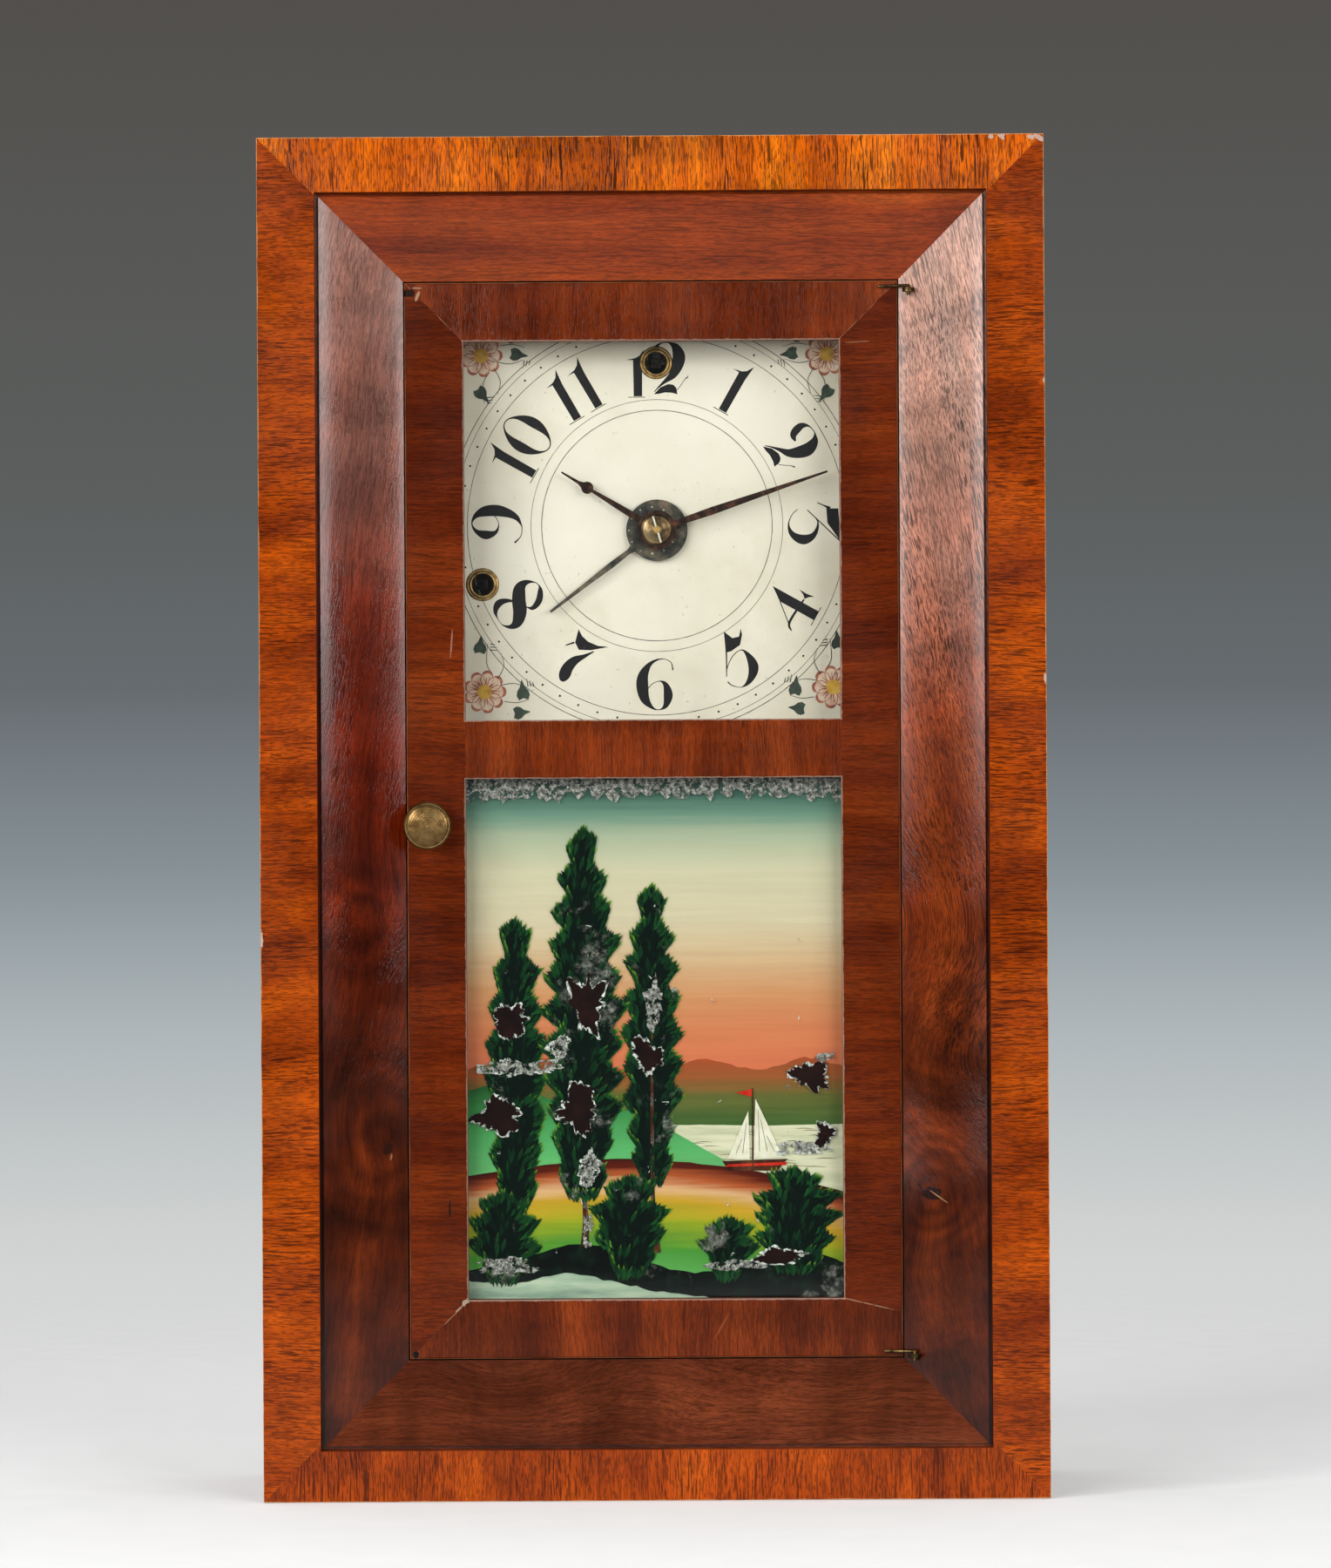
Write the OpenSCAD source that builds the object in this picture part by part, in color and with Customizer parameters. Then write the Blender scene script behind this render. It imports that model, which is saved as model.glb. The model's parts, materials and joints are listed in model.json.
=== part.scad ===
// Miniature ogee shelf clock with a spring-driven time movement and an alarm.
// Origin: middle of the case's underside. X to the right, Y to the back, Z up.
// Movement pieces are drawn as the viewer in front of the clock sees them, about the dial's centre.

/* [Case] */
// Width of the case
case_w = 240; // [232:1:270]
// Height of the case
case_h = 416; // [408:1:440]
// Depth of the case, front frame included
case_d = 95; // [93:1:120]
// Thickness of the side, top and bottom boards
board_t = 8; // [6:0.5:10]
// Thickness of the back board
back_t = 6; // [4:0.5:8]
// Radius of the hanging hole in the back board
hang_r = 5.5; // [3:0.5:8]
// Distance of the hanging hole below the top of the case
hang_drop = 24; // [18:1:34]

/* [Front frame] */
// Depth of the front frame
frame_d = 25.5; // [24:0.5:30]
// Width of the flat outer border at the sides
border_w = 17.5; // [14:0.5:20]
// Width of the flat outer border at the top
border_top_w = 16.7; // [14:0.1:20]
// Width of the flat outer border at the foot
border_foot_w = 15.5; // [14:0.1:20]
// Width of the ogee moulding, quirk included
ogee_w = 26.5; // [24:0.5:30]
// How far the border stands in front of the ogee's outer edge
border_lift = 3; // [1.5:0.1:4]
// How far the ogee sinks from its outer edge to the door
ogee_fall = 10.5; // [8:0.1:11.5]
// How far each half of the ogee's curve turns away from its chord, in degrees
ogee_turn = 5.5; // [4:0.5:11]
// Width of the quirk between border and ogee
quirk_w = 1.2; // [0.8:0.1:2]
// Depth of the quirk below the ogee's outer edge
quirk_d = 1.6; // [0.8:0.1:2.4]

/* [Door] */
// Gap between the door and the frame
door_gap = 0.4; // [0.3:0.05:0.8]
// Width of the door's stiles and rails
member_w = 18; // [16:0.5:19]
// Width of the rebate that holds the glass
rebate_w = 4; // [3:0.25:5]
// Depth of the door's lip in front of the glass
lip_d = 6; // [4.5:0.25:6.5]
// Thickness of the glass
glass_t = 1.5; // [1:0.1:2]
// Width of the glazing strips
strip_w = 3; // [2:0.25:3.2]
// Width of the broken edge on the door's front
edge_break = 0.5; // [0.2:0.1:0.8]
// Height of the dial window
dial_win_h = 116.2; // [112:0.1:118]

/* [Door fittings] */
// Radius of the hinge wire
wire_r = 0.5; // [0.4:0.05:0.7]
// Outer radius of the hinge eyes
eye_r = 1.9; // [1.6:0.1:2.1]
// Distance of the hinge axis outside the door opening
hinge_out = 3; // [2.6:0.1:4]
// Distance of the hinge axis in front of the door
hinge_lift = 3.1; // [2.8:0.1:4]
// Distance of the hinge wires from the door's ends
hinge_in = 1.8; // [1.4:0.1:6]
// Distance of the wire's leg from the door's edge
hinge_leg = 5.6; // [4:0.1:8]
// Radius of the knob
knob_r = 7.3; // [6:0.1:8]
// How far the knob stands out of the door
knob_h = 10.5; // [9:0.1:12]
// Rise of the knob's face from its edge to its middle
knob_dome = 0.7; // [0.3:0.1:1.6]
// Distance of the knob's axis from the door's left edge
knob_in = 6.5; // [6:0.1:9]
// Distance of the knob's axis below the dial window
knob_drop = 32.2; // [25:0.1:60]
// Radius of the knob's shank
shank_r = 1.5; // [1.2:0.1:2]
// Length of the latch tongue from the knob's axis
tongue_l = 15; // [12:0.5:18]
// Thickness of the latch tongue
tongue_t = 1.2; // [0.8:0.1:1.4]

/* [Dial and hands] */
// Side of the square dial plate
dial_w = 148; // [142:1:150]
// Thickness of the dial plate
dial_t = 0.8; // [0.5:0.1:1.2]
// Distance of the dial behind the door
dial_set = 10; // [9.5:0.5:12]
// Height of the wooden dial rails
dial_rail_w = 12; // [10:1:14]
// Thickness of the wooden dial rails
dial_rail_t = 7; // [5:0.5:7.5]
// Dial centre to the right of the case's middle
dial_x = 1.5; // [-2:0.1:2]
// Dial centre above the middle of its window
dial_up = 0.6; // [-1:0.1:1]
// Outer radius of the winding grommets
grommet_r = 5.5; // [5:0.1:6]
// Length of the minute hand
minute_l = 55.7; // [50:0.1:57]
// Length of the hour hand
hour_l = 34.5; // [30:0.1:38]
// Length of the alarm hand
alarm_l = 41.6; // [36:0.1:44]
// Thickness of the hands
hand_t = 0.7; // [0.4:0.1:0.8]
// Radius of the alarm disc
disc_r = 9.5; // [8.5:0.1:10.5]
// Minute hand's angle, clockwise from twelve
minute_at = 71.4; // [0:0.1:360]
// Hour hand's angle, clockwise from twelve
hour_at = 301.5; // [0:0.1:360]
// Alarm hand's angle, clockwise from twelve
alarm_at = 232.8; // [0:0.1:360]

/* [Time movement] */
// Distance of the front plate behind the dial
plate_set = 15.2; // [15.2:0.1:16]
// Thickness of the movement plates
plate_t = 1.5; // [1.2:0.1:2]
// Distance between the time movement's plates
plate_gap = 28.5; // [28.5:0.5:30]
// Width of the time movement's plates
plate_w = 62; // [60:1:62]
// Clearance of a turning pivot in its hole, on the radius
pivot_gap = 0.04; // [0.02:0.01:0.08]
// Clearance between pieces that are put together, on the radius
fit_gap = 0.02; // [0.01:0.01:0.04]
// Share of a tooth space that stays free at the pitch line
backlash = 0.2; // [0.12:0.01:0.26]
// Tooth module of the great wheel
great_m = 0.95; // [0.93:0.01:0.97]
// Tooth module of the second wheel
second_m = 0.975; // [0.96:0.005:0.985]
// Tooth module of the centre wheel
centre_m = 0.58; // [0.56:0.005:0.6]
// Tooth module of the third wheel
third_m = 0.5; // [0.48:0.005:0.52]
// Radius over the escape wheel's teeth
escape_r = 15; // [13.5:0.1:15.4]
// Thickness of the train's wheels
wheel_t = 1.2; // [0.8:0.1:1.3]
// Offset of the third arbor to the right of the centre
third_x = 10; // [8:0.5:11]
// Half of the angle that the pallets span on the escape wheel
pallet_half = 32.14; // [30:0.1:34]
// Tooth module of the cannon pinion and minute wheel
cannon_m = 0.5; // [0.48:0.01:0.52]
// Direction of the minute wheel from the centre, clockwise from twelve
minute_wheel_at = 45; // [30:1:60]

/* [Pendulum] */
// Distance of the bob's edge above the bottom board
bob_floor = 21.7; // [14:0.1:30]
// Radius of the bob
bob_r = 19; // [15:0.5:20]
// Thickness of the bob
bob_t = 11; // [8:0.5:12]
// Radius of the pendulum rod
rod_r = 0.6; // [0.5:0.05:0.7]

/* [Alarm] */
// Alarm arbor to the left of the dial's centre
alarm_x = 54.1; // [53:0.1:55]
// Alarm arbor below the dial's centre
alarm_z = 16.5; // [16:0.1:18]
// Radius over the alarm wheel's teeth
alarm_wheel_r = 11; // [10:0.1:11.5]
// Distance of the hammer's staff below the alarm arbor
staff_drop = 15; // [14.8:0.1:15.6]
// Length of the hammer wire
hammer_l = 28.5; // [27:0.1:29]
// Radius of the bell
bell_r = 20; // [18:0.5:20]
// Depth of the bell
bell_d = 13; // [10:0.5:14]
// Thickness of the bell's wall
bell_t = 1.2; // [1:0.1:1.6]
// Gap between the resting hammer and the bell
strike_gap = 2.9; // [2.7:0.1:4]

/* [Hidden] */
$fn = 48;

// Planes from front to back
front_y = -case_d / 2;
back_y = case_d / 2;
frame_back = front_y + frame_d;
door_y = front_y + border_lift + ogee_fall;
door_t = frame_back - door_y;
glass_y = door_y + lip_d;
dial_y = frame_back + dial_set;
dial_back = dial_y + dial_t;
plate_y = dial_back + plate_set;
plate_in = plate_y + plate_t;
plate_out = plate_in + plate_gap;
board_y = back_y - back_t;

// Door and window openings, seen from the front
trim_w = border_w + ogee_w;
open_w = case_w - 2 * trim_w;
open_lo = border_foot_w + ogee_w;
open_hi = case_h - border_top_w - ogee_w;
inner_x = case_w / 2 - board_t;
door_x = open_w / 2 - door_gap;
door_lo = open_lo + door_gap;
door_hi = open_hi - door_gap;
win_x = door_x - member_w;
dial_win_hi = door_hi - member_w;
dial_win_lo = dial_win_hi - dial_win_h;
tablet_hi = dial_win_lo - member_w;
tablet_lo = door_lo + member_w;
dial_mid = (dial_win_lo + dial_win_hi) / 2;
dial_z = dial_mid + dial_up;

// Hinge axis and knob axis
hinge_x = open_w / 2 + hinge_out;
hinge_y = door_y - hinge_lift;
hinge_zs = [door_lo + hinge_in, door_hi - hinge_in];
pin_l = 2.9;
eye_h = 1.2;
eye_drop = wire_r + 0.2 + eye_h / 2;
knob_x = -door_x + knob_in;
knob_z = dial_win_lo - knob_drop;
tongue_y = frame_back + 0.4;

// Teeth of the train: wheel and the pinion that it drives
GREAT = 48;
SECOND = 36;
CENTRE = 72;
THIRD = 80;
ESCAPE = 42;
LEAVES = 12;
FINE_LEAVES = 8;
MINUTE = 36;
HOUR = 48;
ALARM = 20;
RATCHET = 16;

// Arbor places about the dial's centre: right, up
second_at = [0, (SECOND + LEAVES) * second_m / 2];
great_at = second_at + [0, (GREAT + LEAVES) * great_m / 2];
third_dist = (CENTRE + FINE_LEAVES) * centre_m / 2;
third_at = [third_x, -sqrt(pow(third_dist, 2) - pow(third_x, 2))];
escape_dist = (THIRD + FINE_LEAVES) * third_m / 2;
escape_at = [0, third_at[1] - sqrt(pow(escape_dist, 2) - pow(third_x, 2))];
verge_at = [0, escape_at[1] + escape_r / cos(pallet_half)];
cannon_dist = (LEAVES + MINUTE) * cannon_m / 2;
hour_m = 2 * cannon_dist / (LEAVES + HOUR);
minute_wheel_pos = cannon_dist * [sin(minute_wheel_at), cos(minute_wheel_at)];
pendulum_l = dial_z + verge_at[1] - board_t - bob_floor - bob_r;
alarm_pos = [-alarm_x, -alarm_z];
staff_pos = alarm_pos - [0, staff_drop];
hammer_head_r = 3;
head_pos = staff_pos - [0, hammer_l];
bell_side = 8;
bell_gap = bell_r + hammer_head_r + strike_gap;
bell_pos = head_pos + [-sqrt(pow(bell_gap, 2) - pow(bell_side, 2)), -bell_side];
lever_pos = [-26, -10];

// Layers of the movement behind the front plate's outer face
escape_y = plate_y - 2.8;
escape_t = 1;
verge_y = plate_y - 3.5;
verge_w = 2.4;
crutch_y = plate_y - 3.6;
crutch_r = 0.35;
rod_y = plate_y - 5.4;
nose_y = rod_y - 1.1;
nose_t = 2.2;
great_y = plate_in + 2.5;
great_t = 1.6;
ratchet_y = great_y + great_t + 0.5;
ratchet_t = 1.2;
ratchet_r = 8;
second_y = plate_in + 6.5;
spring_y = plate_in + 8.6;
spring_h = 14;
centre_y = plate_in + 12.5;
third_y = plate_in + 19.8;
motion_y = plate_y - 2.4;
minute_wheel_y = motion_y + 0.5;
hour_wheel_y = plate_y - 5;
hour_wheel_t = 1;

// Glue line that keeps the pieces of one group separate
glue = 0.05;

// Depth of a wheel's rim below its teeth
rim_w = 1.8;

// Arbor radii
winding_r = 2.4;
square_w = 3.3;
centre_r = 1;
thin_r = 1;
pivot_r = 0.7;
cannon_r = 2;
hour_pipe_r = 3;
alarm_pipe_r = 4.2;
winding_end = dial_y - 0.3;

// Layers of the hands in front of the dial
disc_y = dial_y - 2.4;
disc_t = 1;
alarm_hand_y = disc_y - 0.5;
hour_hand_y = dial_y - 4.4;
minute_hand_y = dial_y - 6.2;
washer_t = 1.3;
arbor_end = dial_y - 8.9;

// Alarm movement
alarm_plate_y = plate_y + 2;
alarm_plate_t = 1.2;
alarm_gap = 20.8;
alarm_wheel_y = alarm_plate_y + 5;
hammer_y = plate_y;
hammer_wire_r = 0.5;
lever_y = plate_y - 7.9;
lever_t = 1;
cam_r = 6.5;
bell_y = plate_y - 2;

// Colours
VENEER = [0.42, 0.13, 0.06];
CROSSBAND = [0.62, 0.25, 0.06];
PINE = [0.66, 0.5, 0.32];
BRASS = [0.78, 0.62, 0.3];
STEEL = [0.45, 0.46, 0.48];
DARK_STEEL = [0.15, 0.12, 0.11];
CREAM = [0.9, 0.88, 0.8];
GLASS = [0.75, 0.85, 0.85, 0.35];

// ---------- Helpers ----------

// A flat outline drawn as seen from the front, given thickness from y0 to the back
module slab(y0, t) {
    translate([0, y0 + t, 0]) rotate([90, 0, 0]) linear_extrude(t) children();
}

// The same about the dial's centre, at a place to its right and above it
module layer(y0, t, at = [0, 0]) {
    translate([dial_x + at[0], 0, dial_z + at[1]]) slab(y0, t) children();
}

// The same, turned clockwise from twelve by an angle
module hand_layer(y0, t, turn) {
    translate([dial_x, 0, dial_z]) rotate([0, turn, 0]) slab(y0, t) children();
}

// A round bar along Y from y0 to y1, about the dial's centre
module bar(y0, y1, r, at = [0, 0]) {
    layer(y0, y1 - y0, at) circle(r);
}

// A round bar between two points
module stick(p, q, r) {
    d = q - p;
    translate(p) rotate([0, acos(d[2] / norm(d)), atan2(d[1], d[0])]) cylinder(h = norm(d), r = r);
}

function polar(r, a) = [r * cos(a), r * sin(a)];

// A straight stroke of even width between two points, with round ends
module stroke(p, q, w) {
    turn = atan2(q[1] - p[1], q[0] - p[0]);
    polygon(concat([for (a = [90:30:270]) p + polar(w / 2, turn + a)],
        [for (a = [-90:30:90]) q + polar(w / 2, turn + a)]));
}

// Rolling angle at which an epicycloid has risen by h above the pitch circle
function roll_at(pitch, rho, h) =
    acos((pow(pitch + rho, 2) + rho * rho - pow(pitch + h, 2)) / (2 * rho * (pitch + rho)));
function roll_point(pitch, rho, a) =
    (pitch + rho) * polar(1, a * rho / pitch) - rho * polar(1, a * (pitch + rho) / pitch);
function turned(p, a) = [p[0] * cos(a) - p[1] * sin(a), p[0] * sin(a) + p[1] * cos(a)];
function flipped(p) = [p[0], -p[1]];

// Outline of a wheel tooth that drives a pinion: radial roots and an epicycloidal tip
function tooth_points(teeth, m, leaves, rise) =
    let (pitch = teeth * m / 2, rho = leaves * m / 4, root = pitch - 1.0 * m)
    let (half = 90 / teeth * (1 - backlash), top = roll_at(pitch, rho, rise * m))
    let (side = concat([polar(root, 0)],
        [for (i = [0:3]) roll_point(pitch, rho, top * sqrt(i / 3))]))
    concat([for (p = side) turned(p, -half)],
        [for (i = [len(side) - 1:-1:0]) turned(flipped(side[i]), half)]);

// A wheel's toothed blank, with a tooth at angle a
module wheel_blank(teeth, m, leaves, rise, a = 0) {
    one = tooth_points(teeth, m, leaves, rise);
    polygon([for (k = [0:teeth - 1]) for (p = one) turned(p, a + k * 360 / teeth)]);
}

// A pinion with radial flanks and round leaf ends, with a leaf at angle a
module pinion_blank(leaves, m, depth, a = 0) {
    pitch = leaves * m / 2;
    half = 360 / leaves * (leaves > 10 ? 0.2 : 1 / 6) * (1 - backlash / 2);
    tip_r = pitch * sin(half);
    one = concat([polar(pitch - depth * m, -half), polar(pitch, -half)],
        [for (b = [-60:30:60]) [pitch * cos(half), 0] + polar(tip_r, b)],
        [polar(pitch, half), polar(pitch - depth * m, half)]);
    polygon([for (k = [0:leaves - 1]) for (p = one) turned(p, a + k * 360 / leaves)]);
}

// The openings between the arms of a wheel, from its hub to its rim
module crossings(rim_r, hub_r, arms, arm_w, a = 0) {
    difference() {
        circle(rim_r);
        circle(hub_r);
        for (k = [0:arms - 1]) rotate(a + k * 360 / arms) translate([0, -arm_w / 2])
            square([rim_r + 1, arm_w]);
    }
}

// The same inside a toothed wheel's rim
module wheel_arms(teeth, m, hub_r, arms, arm_w, a = 0) {
    crossings((teeth / 2 - 1) * m - rim_w, hub_r, arms, arm_w, a);
}

// Saw teeth of an escape or ratchet wheel
module saw_blank(teeth, tip_r, root_r, lean) {
    step = 360 / teeth;
    polygon([for (k = [0:teeth - 1]) each [
        polar(tip_r, k * step),
        polar(tip_r - 0.1, (k + 0.12) * step),
        polar(root_r, (k + lean) * step),
        polar(root_r, (k + 0.9) * step)
    ]]);
}

// A flat spiral spring between two radii, whose ends lie at angle a
module spiral(inner_r, outer_r, turns, t, a) {
    n = turns * 20;
    pitch = (outer_r - inner_r) / n;
    polygon(concat(
        [for (i = [0:n]) polar(inner_r + t + i * pitch, a + i * 18)],
        [for (i = [n:-1:0]) polar(inner_r + i * pitch, a + i * 18)]));
}

// ---------- Case ----------

module board_side() {
    translate([inner_x, frame_back, 0]) cube([board_t, back_y - frame_back, case_h]);
}

module side_right() {
    color(VENEER) board_side();
}

module side_left() {
    color(VENEER) mirror([1, 0, 0]) board_side();
}

module board_level(z) {
    translate([-inner_x, frame_back, z]) cube([2 * inner_x, back_y - frame_back, board_t]);
}

module top_board() {
    color(PINE) board_level(case_h - board_t);
}

module bottom_board() {
    color(PINE) board_level(0);
}

module back_board() {
    color(PINE) difference() {
        translate([-inner_x, board_y, board_t])
            cube([2 * inner_x, back_t, case_h - 2 * board_t]);
        translate([0, board_y - 1, case_h - hang_drop]) rotate([-90, 0, 0])
            cylinder(h = back_t + 2, r = hang_r);
    }
}

// ---------- Front frame ----------

// Corners of the ring at a distance outside the door opening
function ring_x(d) = open_w / 2 + d;
function ring_lo(d) = open_lo - d;
function ring_hi(d) = open_hi + d;

// One mitred member of the frame between two such rings, seen from the front
module upright_mask(a, b) {
    polygon([[ring_x(a), ring_lo(a)], [ring_x(b), ring_lo(b)],
        [ring_x(b), ring_hi(b)], [ring_x(a), ring_hi(a)]]);
}

module top_mask(a, b) {
    polygon([[-ring_x(a), ring_hi(a)], [ring_x(a), ring_hi(a)],
        [ring_x(b), ring_hi(b)], [-ring_x(b), ring_hi(b)]]);
}

module border_upright() {
    slab(front_y, frame_d) polygon([[ring_x(ogee_w), ring_lo(ogee_w)], [case_w / 2, 0],
        [case_w / 2, case_h], [ring_x(ogee_w), ring_hi(ogee_w)]]);
}

// The strip along the top, or turned over the one along the foot
module border_level(end_w) {
    inner_z = case_h - end_w;
    difference() {
        slab(front_y, frame_d) polygon([[-ring_x(ogee_w), inner_z + glue],
            [ring_x(ogee_w), inner_z + glue], [case_w / 2, case_h], [-case_w / 2, case_h]]);
        for (s = [-1, 1]) border_relief(s, [ring_x(ogee_w), inner_z]);
    }
}

module border_strips() {
    color(CROSSBAND) {
        border_upright();
        mirror([1, 0, 0]) border_upright();
        border_level(border_top_w);
        translate([0, 0, case_h]) mirror([0, 0, 1]) border_level(border_foot_w);
    }
}

// A thin cut along the border's mitre, from its inner corner to the case's
module border_relief(s, inner) {
    corner = [case_w / 2, case_h];
    run = (corner - inner) / norm(corner - inner);
    cut = [inner - run, inner - run - [glue, 0], corner + run - [glue, 0], corner + run + [glue, 0]];
    slab(front_y - 1, frame_d + 2) polygon([for (p = cut) [s * p[0], p[1]]]);
}

// Section of the ogee: outward from the opening, and forward from the frame's back
ogee_run = ogee_w - quirk_w;
ogee_edge = frame_d - border_lift;
ogee_chord = norm([ogee_run, ogee_fall]) / 2;
ogee_slope = atan2(ogee_fall, ogee_run);
ogee_r = ogee_chord / (2 * sin(ogee_turn));
ogee_mid = [ogee_run / 2, door_t + ogee_fall / 2];
ogee_off = ogee_r * cos(ogee_turn) * [-sin(ogee_slope), cos(ogee_slope)];
ogee_half = [ogee_run / 4, ogee_fall / 4];

module ogee_section() {
    difference() {
        union() {
            square([ogee_w, ogee_edge - quirk_d]);
            polygon([[0, 0], [ogee_mid[0], 0], ogee_mid, [0, door_t + ogee_fall / 2]]);
            intersection() {
                translate([ogee_mid[0] - 0.01, 0]) square([ogee_run / 2 + 0.01, frame_d]);
                translate(ogee_mid + ogee_half - ogee_off) circle(ogee_r, $fn = 200);
            }
        }
        translate(ogee_mid - ogee_half + ogee_off) circle(ogee_r, $fn = 200);
    }
}

module ogee_bar(l) {
    linear_extrude(l) mirror([0, 1, 0]) ogee_section();
}

module ogee_upright() {
    intersection() {
        translate([open_w / 2, frame_back, 0]) ogee_bar(case_h);
        slab(front_y - 1, frame_d + 1) upright_mask(0, ogee_w);
    }
}

module ogee_level() {
    intersection() {
        translate([case_w / 2, frame_back, open_hi]) rotate([0, -90, 0]) ogee_bar(case_w);
        slab(front_y - 1, frame_d + 1) top_mask(0, ogee_w);
    }
}

module ogee_right() {
    color(VENEER) difference() {
        ogee_upright();
        for (z = hinge_zs) eye_shank(z - eye_drop, fit_gap);
    }
}

module ogee_left() {
    color(VENEER) mirror([1, 0, 0]) ogee_upright();
}

module ogee_top() {
    color(VENEER) ogee_level();
}

module ogee_bottom() {
    color(VENEER) translate([0, 0, open_lo + open_hi]) mirror([0, 0, 1]) ogee_level();
}

// Shank of a hinge eye, driven into the frame
shank_len = 8;
eye_shank_r = 0.6;
module eye_shank(z, gap = 0) {
    y0 = hinge_y + eye_r - 0.3;
    translate([hinge_x, y0, z]) rotate([-90, 0, 0]) cylinder(h = shank_len, r = eye_shank_r + gap);
}

module hinge_eyes() {
    color(BRASS) for (z = hinge_zs) {
        difference() {
            union() {
                translate([hinge_x, hinge_y, z - eye_drop - eye_h / 2]) cylinder(h = eye_h, r = eye_r);
                eye_shank(z - eye_drop);
            }
            translate([hinge_x, hinge_y, z - eye_drop - eye_h])
                cylinder(h = 2 * eye_h, r = wire_r + pivot_gap);
        }
    }
}

// ---------- Door ----------

// The rebate and window that a glass takes out of the door's members
module glass_room(lo, hi) {
    translate([-win_x - rebate_w, glass_y, lo - rebate_w])
        cube([2 * (win_x + rebate_w), door_t, hi - lo + 2 * rebate_w]);
}

// Section of a rail with its two front edges broken
module rail_section() {
    polygon([[0, 0], [member_w, 0], [member_w, door_t - edge_break], [member_w - edge_break, door_t],
        [edge_break, door_t], [0, door_t - edge_break]]);
}

// What breaks a front edge: run past both ends, along the third axis
module edge_cut(l) {
    linear_extrude(l) polygon([[-1, -1], [edge_break + 1, -1], [-1, edge_break + 1]]);
}

// The right stile: its front is flush with the rails, so only its free edges are broken
module door_stile() {
    difference() {
        translate([win_x, door_y, door_lo]) cube([member_w, door_t, door_hi - door_lo]);
        for (w = [[dial_win_lo, dial_win_hi], [tablet_lo, tablet_hi]]) {
            glass_room(w[0], w[1]);
            translate([win_x, door_y, w[0]]) edge_cut(w[1] - w[0]);
        }
        translate([door_x, door_y, door_lo - 1]) rotate([0, 0, 90]) edge_cut(door_hi - door_lo + 2);
        translate([win_x - 1, door_y, door_lo]) rotate([90, 0, 90]) edge_cut(member_w + 2);
        translate([win_x - 1, door_y, door_hi]) mirror([0, 0, 1]) rotate([90, 0, 90])
            edge_cut(member_w + 2);
    }
}

module door_rail(z) {
    difference() {
        translate([win_x, frame_back, z]) rotate([0, -90, 0]) linear_extrude(2 * win_x)
            mirror([0, 1, 0]) rail_section();
        glass_room(dial_win_lo, dial_win_hi);
        glass_room(tablet_lo, tablet_hi);
    }
}

module door_stile_left() {
    color(VENEER) difference() {
        mirror([1, 0, 0]) door_stile();
        translate([knob_x, door_y - 1, knob_z]) rotate([-90, 0, 0])
            cylinder(h = door_t + 2, r = shank_r + 0.1);
    }
}

module door_stile_right() {
    color(VENEER) difference() {
        door_stile();
        for (z = hinge_zs) hinge_leg_hole(z);
    }
}

// Top, middle and bottom rail
module door_rails() {
    color(VENEER) for (z = [door_hi - member_w, tablet_hi, door_lo]) door_rail(z);
}

module glass_pane(lo, hi) {
    edge = rebate_w - 0.3;
    color(GLASS) translate([-win_x - edge, glass_y, lo - edge])
        cube([2 * (win_x + edge), glass_t, hi - lo + 2 * edge]);
}

module dial_glass() {
    glass_pane(dial_win_lo, dial_win_hi);
}

module tablet_glass() {
    glass_pane(tablet_lo, tablet_hi);
}

// Four glazing strips behind one glass
module strips(lo, hi) {
    y0 = glass_y + glass_t;
    reach = rebate_w - 0.1;
    x1 = win_x + reach;
    for (s = [-1, 1]) translate([s > 0 ? x1 - strip_w : -x1, y0, lo - reach])
        cube([strip_w, strip_w, hi - lo + 2 * reach]);
    for (z = [lo - reach, hi + reach - strip_w]) translate([-x1 + strip_w + glue, y0, z])
        cube([2 * (x1 - strip_w - glue), strip_w, strip_w]);
}

module glazing_strips() {
    color(PINE) {
        strips(dial_win_lo, dial_win_hi);
        strips(tablet_lo, tablet_hi);
    }
}

// The wire's leg in the door
leg_x = door_x - hinge_leg;
leg_front = door_y - 1;
leg_in = 6;
module hinge_leg_hole(z) {
    translate([leg_x, leg_front, z]) rotate([-90, 0, 0]) cylinder(h = leg_in, r = wire_r + fit_gap);
}

// A straight end of the wire down from the origin, with the round outside of its bend
module wire_end(length) {
    rotate_extrude() polygon(concat([[0, -length], [wire_r, -length], [wire_r, 0]],
        [for (a = [15:15:90]) wire_r * [cos(a), sin(a)]]));
}

// A wire staple: a leg in the door, a run to the axis, and a pin down through the eye.
// The run is a little thinner, so that its sides don't graze the ends.
module hinge_wire(z) {
    elbow = [leg_x, leg_front, z];
    corner = [hinge_x, hinge_y, z];
    translate(elbow) rotate([90, 0, 0]) wire_end(leg_in);
    stick(elbow, corner, wire_r - 0.03);
    translate(corner) wire_end(pin_l);
}

module hinge_wires() {
    color(BRASS) for (z = hinge_zs) hinge_wire(z);
}

// Turned knob: its profile runs forward from the door's face
module knob() {
    face = knob_h - knob_dome;
    color(BRASS) translate([knob_x, door_y, knob_z]) rotate([90, 0, 0]) {
        rotate_extrude() polygon(concat(
            [[0, 0.1], [3.6, 0.1], [3.6, 0.7], [2.6, 1.4], [2.4, 3.2], [3.4, 4.6],
                [knob_r - 1.2, face - 2.2], [knob_r, face - 1.2], [knob_r, face - 0.5],
                [knob_r - 0.4, face]],
            [for (a = [0:6]) [(knob_r - 0.9) * cos(a * 15), face + knob_dome * sin(a * 15)]]));
        translate([0, 0, -door_t - 1.6]) cylinder(h = door_t + 2, r = shank_r);
    }
}

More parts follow.
